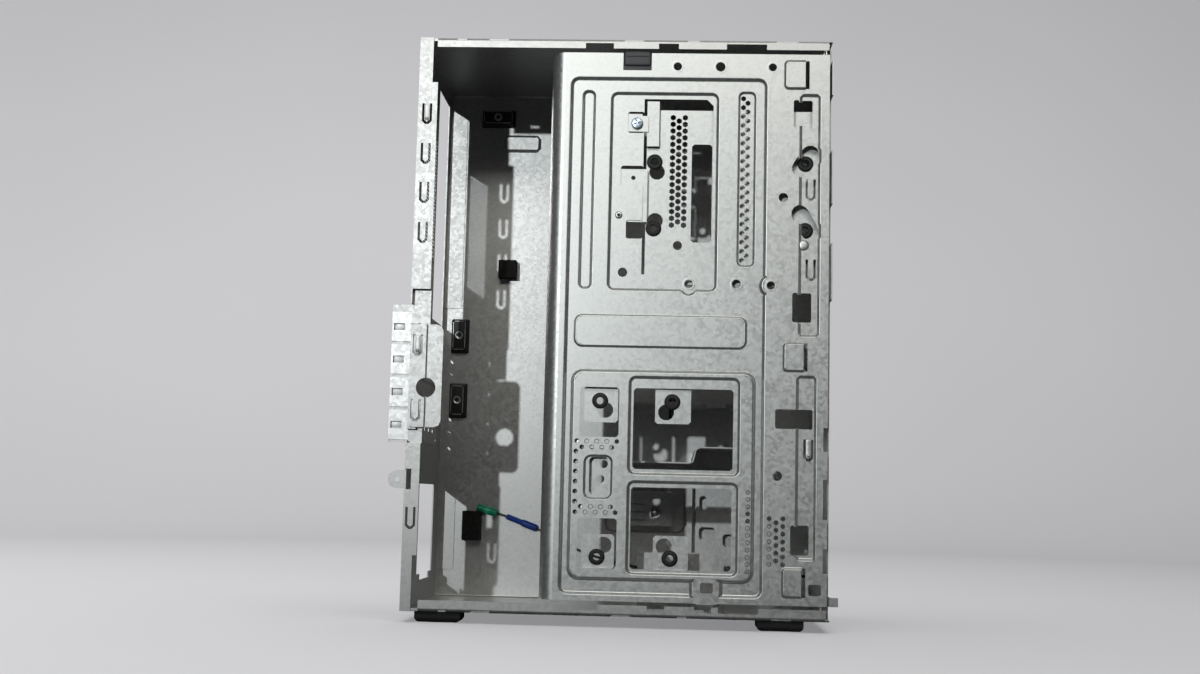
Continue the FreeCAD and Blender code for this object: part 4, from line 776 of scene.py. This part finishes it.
# shrunk sleeves on the lead: start, end, and a profile of (radius, place along)
sleeveSet = {
    "lead_sleeve_free": {"slot": "sleeve_green", "start": (29.0, 130.45, 62.5), "end": (43.06, 130.45, 58.55),
                         "profile": ((0.9, 0.0), (2.3, 0.0), (2.6, 0.3), (2.7, 1.0), (2.72, 7.0), (2.68, 13.4),
                                     (2.4, 14.3), (0.9, 14.6))},
    "lead_sleeve_middle": {"slot": "sleeve_blue", "start": (49.8, 130.75, 56.5), "end": (70.8, 130.75, 48.8),
                           "profile": ((0.9, 0.0), (1.7, 0.0), (1.9, 0.3), (1.9, 11.2), (2.3, 11.7), (2.42, 12.4),
                                       (2.42, 21.4), (2.2, 22.3), (0.9, 22.4))},
    "steps": 28, "sag": 0.05, "wave": 0.5,
}


def leadSleeve(node):
    sleeve = sleeveSet[node]
    start, end = Vector(sleeve["start"]), Vector(sleeve["end"])
    shape = bmesh.new()
    verts = lathe(shape, sleeve["profile"], sleeveSet["steps"], closed=True)
    for v in verts:  # the skin follows the wires inside
        ripple = 1 + noise.noise(v.co * sleeveSet["wave"]) * sleeveSet["sag"]
        v.co.x, v.co.y = v.co.x * ripple, v.co.y * ripple
    lay = (end - start).to_track_quat("Z", "Y").to_matrix().to_4x4()
    move = Matrix.Translation(at(*start)) @ lay @ Matrix.Scale(bench["scale"], 4)
    bmesh.ops.transform(shape, matrix=move, verts=verts)
    piece = keepPiece(node + "_shrunk", shape, "chassis", sleeve["slot"])
    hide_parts(node)


for node in ("lead_sleeve_free", "lead_sleeve_middle"):
    leadSleeve(node)

# moulded latch: thumb block, wider back plate, grip ridge
latchBlock = {"block": (137.25, 4.6, 346.25, 17.1, 9.7, 4.0), "plate": (137.25, 5.4, 343.65, 23.1, 9.5, 2.4),
              "ridge": (137.25, 2.85, 347.6, 14.0, 0.7), "ease": 1.5, "segments": 6, "plateEase": 0.3, "sides": 24}


def bracketLatch():
    shape = bmesh.new()
    x, y, z, width, height, depth = latchBlock["block"]
    seat(shape, easedBlock(shape, width, height, depth, latchBlock["ease"], latchBlock["segments"]), x, y, z)
    x, y, z, width, height, depth = latchBlock["plate"]
    seat(shape, easedBlock(shape, width, height, depth, latchBlock["plateEase"]), x, y, z)
    x, y, z, length, radius = latchBlock["ridge"]
    bar = bmesh.ops.create_cone(shape, cap_ends=True, segments=latchBlock["sides"], radius1=radius, radius2=radius,
                                depth=length)["verts"]
    bmesh.ops.rotate(shape, verts=bar, cent=(0.0, 0.0, 0.0), matrix=Matrix.Rotation(math.pi / 2, 3, "Y"))
    seat(shape, bar, x, y, z)
    piece = keepPiece("latchSlider", shape, "latch", "latch_plastic")
    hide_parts("bracket_latch")


bracketLatch()
print("detail pieces made")


# round floor that curves up far from the object on all sides
stageSet = {"flat": 1.5, "bend": 1.9, "height": 1.6, "arc": 24, "steps": 72, "weld": 1e-5,
            "dark": (0.66, 0.665, 0.685), "light": (0.74, 0.745, 0.76), "cloud": 0.8, "rough": 0.85}


def paleStage():
    sheet = bmesh.new()
    flat, bend = stageSet["flat"], stageSet["bend"]
    profile = [(0.0, 0.0)]
    for part in range(stageSet["arc"] + 1):
        angle = part / stageSet["arc"] * math.pi / 2
        profile.append((flat + bend * math.sin(angle), bend - bend * math.cos(angle)))
    profile.append((flat + bend, bend + stageSet["height"]))
    lathe(sheet, profile, stageSet["steps"])
    bmesh.ops.remove_doubles(sheet, verts=sheet.verts, dist=stageSet["weld"])
    bmesh.ops.recalc_face_normals(sheet, faces=sheet.faces)
    bmesh.ops.reverse_faces(sheet, faces=sheet.faces)  # the inside is the side seen
    for face in sheet.faces:
        face.smooth = True
    mesh = bpy.data.meshes.new("paleStage")
    sheet.to_mesh(mesh)
    sheet.free()
    stage = bpy.data.objects.new("paleStage", mesh)
    bpy.context.scene.collection.objects.link(stage)
    finish, shader, coords = newFinish("palePaper")
    cloud = coords.noise(stageSet["cloud"], 2.0, 0.5)
    feed(shader, Base_Color=cloud.tint(stageSet["dark"], stageSet["light"]), Roughness=stageSet["rough"])
    mesh.materials.append(finish)
    stage.visible_diffuse = False  # the paper doesn't light the case from below
    stage.visible_glossy = False
    return stage


stage = paleStage()
print("stage made")


# studio light: a far lamp left of the camera, a soft sheet high in front, fills behind, and lamps for the paper
lightSet = [
    {"name": "keyLamp", "kind": "SPOT", "place": (-3.14, -11.5, 2.26), "aim": (0.035, 0.0, 0.335), "radius": 0.105,
     "cone": 5.2, "power": 1090.0, "tint": (0.955, 1.0, 1.01), "paper": "EXCLUDE"},
    {"name": "frontSheet", "kind": "AREA", "place": (0.10, -2.30, 1.55), "aim": (0.0, 0.0, 0.30), "size": (1.8, 0.7),
     "power": 15.0, "tint": (1.0, 0.985, 0.93), "paper": "EXCLUDE"},
    {"name": "topSheet", "kind": "AREA", "place": (0.20, 0.10, 2.30), "aim": (0.0, 0.1, 0.15), "size": (1.6, 1.6),
     "power": 6.0, "tint": (1.0, 0.985, 0.955), "paper": "EXCLUDE"},
    {"name": "rearSheet", "kind": "AREA", "place": (-2.0, 1.5, 1.3), "aim": (0.0, 0.0, 0.15), "size": (1.4, 1.2),
     "power": 34.0, "tint": (1.0, 0.99, 0.97), "paper": "EXCLUDE"},
    {"name": "noseSheet", "kind": "AREA", "place": (2.0, 1.5, 1.3), "aim": (0.0, 0.0, 0.15), "size": (1.4, 1.2),
     "power": 30.0, "tint": (0.98, 0.99, 1.0), "paper": "EXCLUDE"},
    {"name": "paperSheet", "kind": "AREA", "place": (-0.3, 0.0, 3.4), "aim": (-0.3, 0.0, 0.0), "size": (4.4, 4.4),
     "power": 88.0, "tint": (1.0, 0.985, 0.985), "paper": "INCLUDE"},
    {"name": "paperFront", "kind": "AREA", "place": (-1.3, -2.6, 1.8), "aim": (-0.3, 3.2, 0.5), "size": (1.6, 0.9),
     "spread": 84.0, "power": 37.0, "tint": (1.0, 0.99, 1.0), "paper": "INCLUDE", "shadow": False},
]
for lamp in lightSet:
    data = bpy.data.lights.new(lamp["name"], lamp["kind"])
    if lamp["kind"] == "SPOT":
        data.shadow_soft_size = lamp["radius"]
        data.spot_size = math.radians(lamp["cone"])
        data.spot_blend = 1.0
    else:
        data.shape = "RECTANGLE"
        data.size, data.size_y = lamp["size"]
        data.spread = math.radians(lamp.get("spread", 180.0))
    data.energy = lamp["power"]
    data.color = lamp["tint"]
    light = bpy.data.objects.new(lamp["name"], data)
    light.location = lamp["place"]
    aim = Vector(lamp["aim"]) - Vector(lamp["place"])
    light.rotation_euler = aim.to_track_quat("-Z", "Y").to_euler()
    bpy.context.scene.collection.objects.link(light)
    if "paper" in lamp:  # a lamp for the case alone, or for the paper alone
        receiver = bpy.data.collections.new(lamp["name"] + "Paper")
        receiver.objects.link(stage)
        light.light_linking.receiver_collection = receiver
        receiver.collection_objects[0].light_linking.link_state = lamp["paper"]
        if lamp["paper"] == "EXCLUDE" or not lamp.get("shadow", True):  # case and paper don't shade each other
            light.light_linking.blocker_collection = receiver
worldSet = {"colour": (0.80, 0.82, 0.86, 1.0), "power": 0.026}
world = bpy.data.worlds.new("studioAir")
world.use_nodes = True
background = world.node_tree.nodes["Background"]
background.inputs["Color"].default_value = worldSet["colour"]
background.inputs["Strength"].default_value = worldSet["power"]
bpy.context.scene.world = world
bpy.context.scene.view_settings.view_transform = "Standard"
print("lights made")
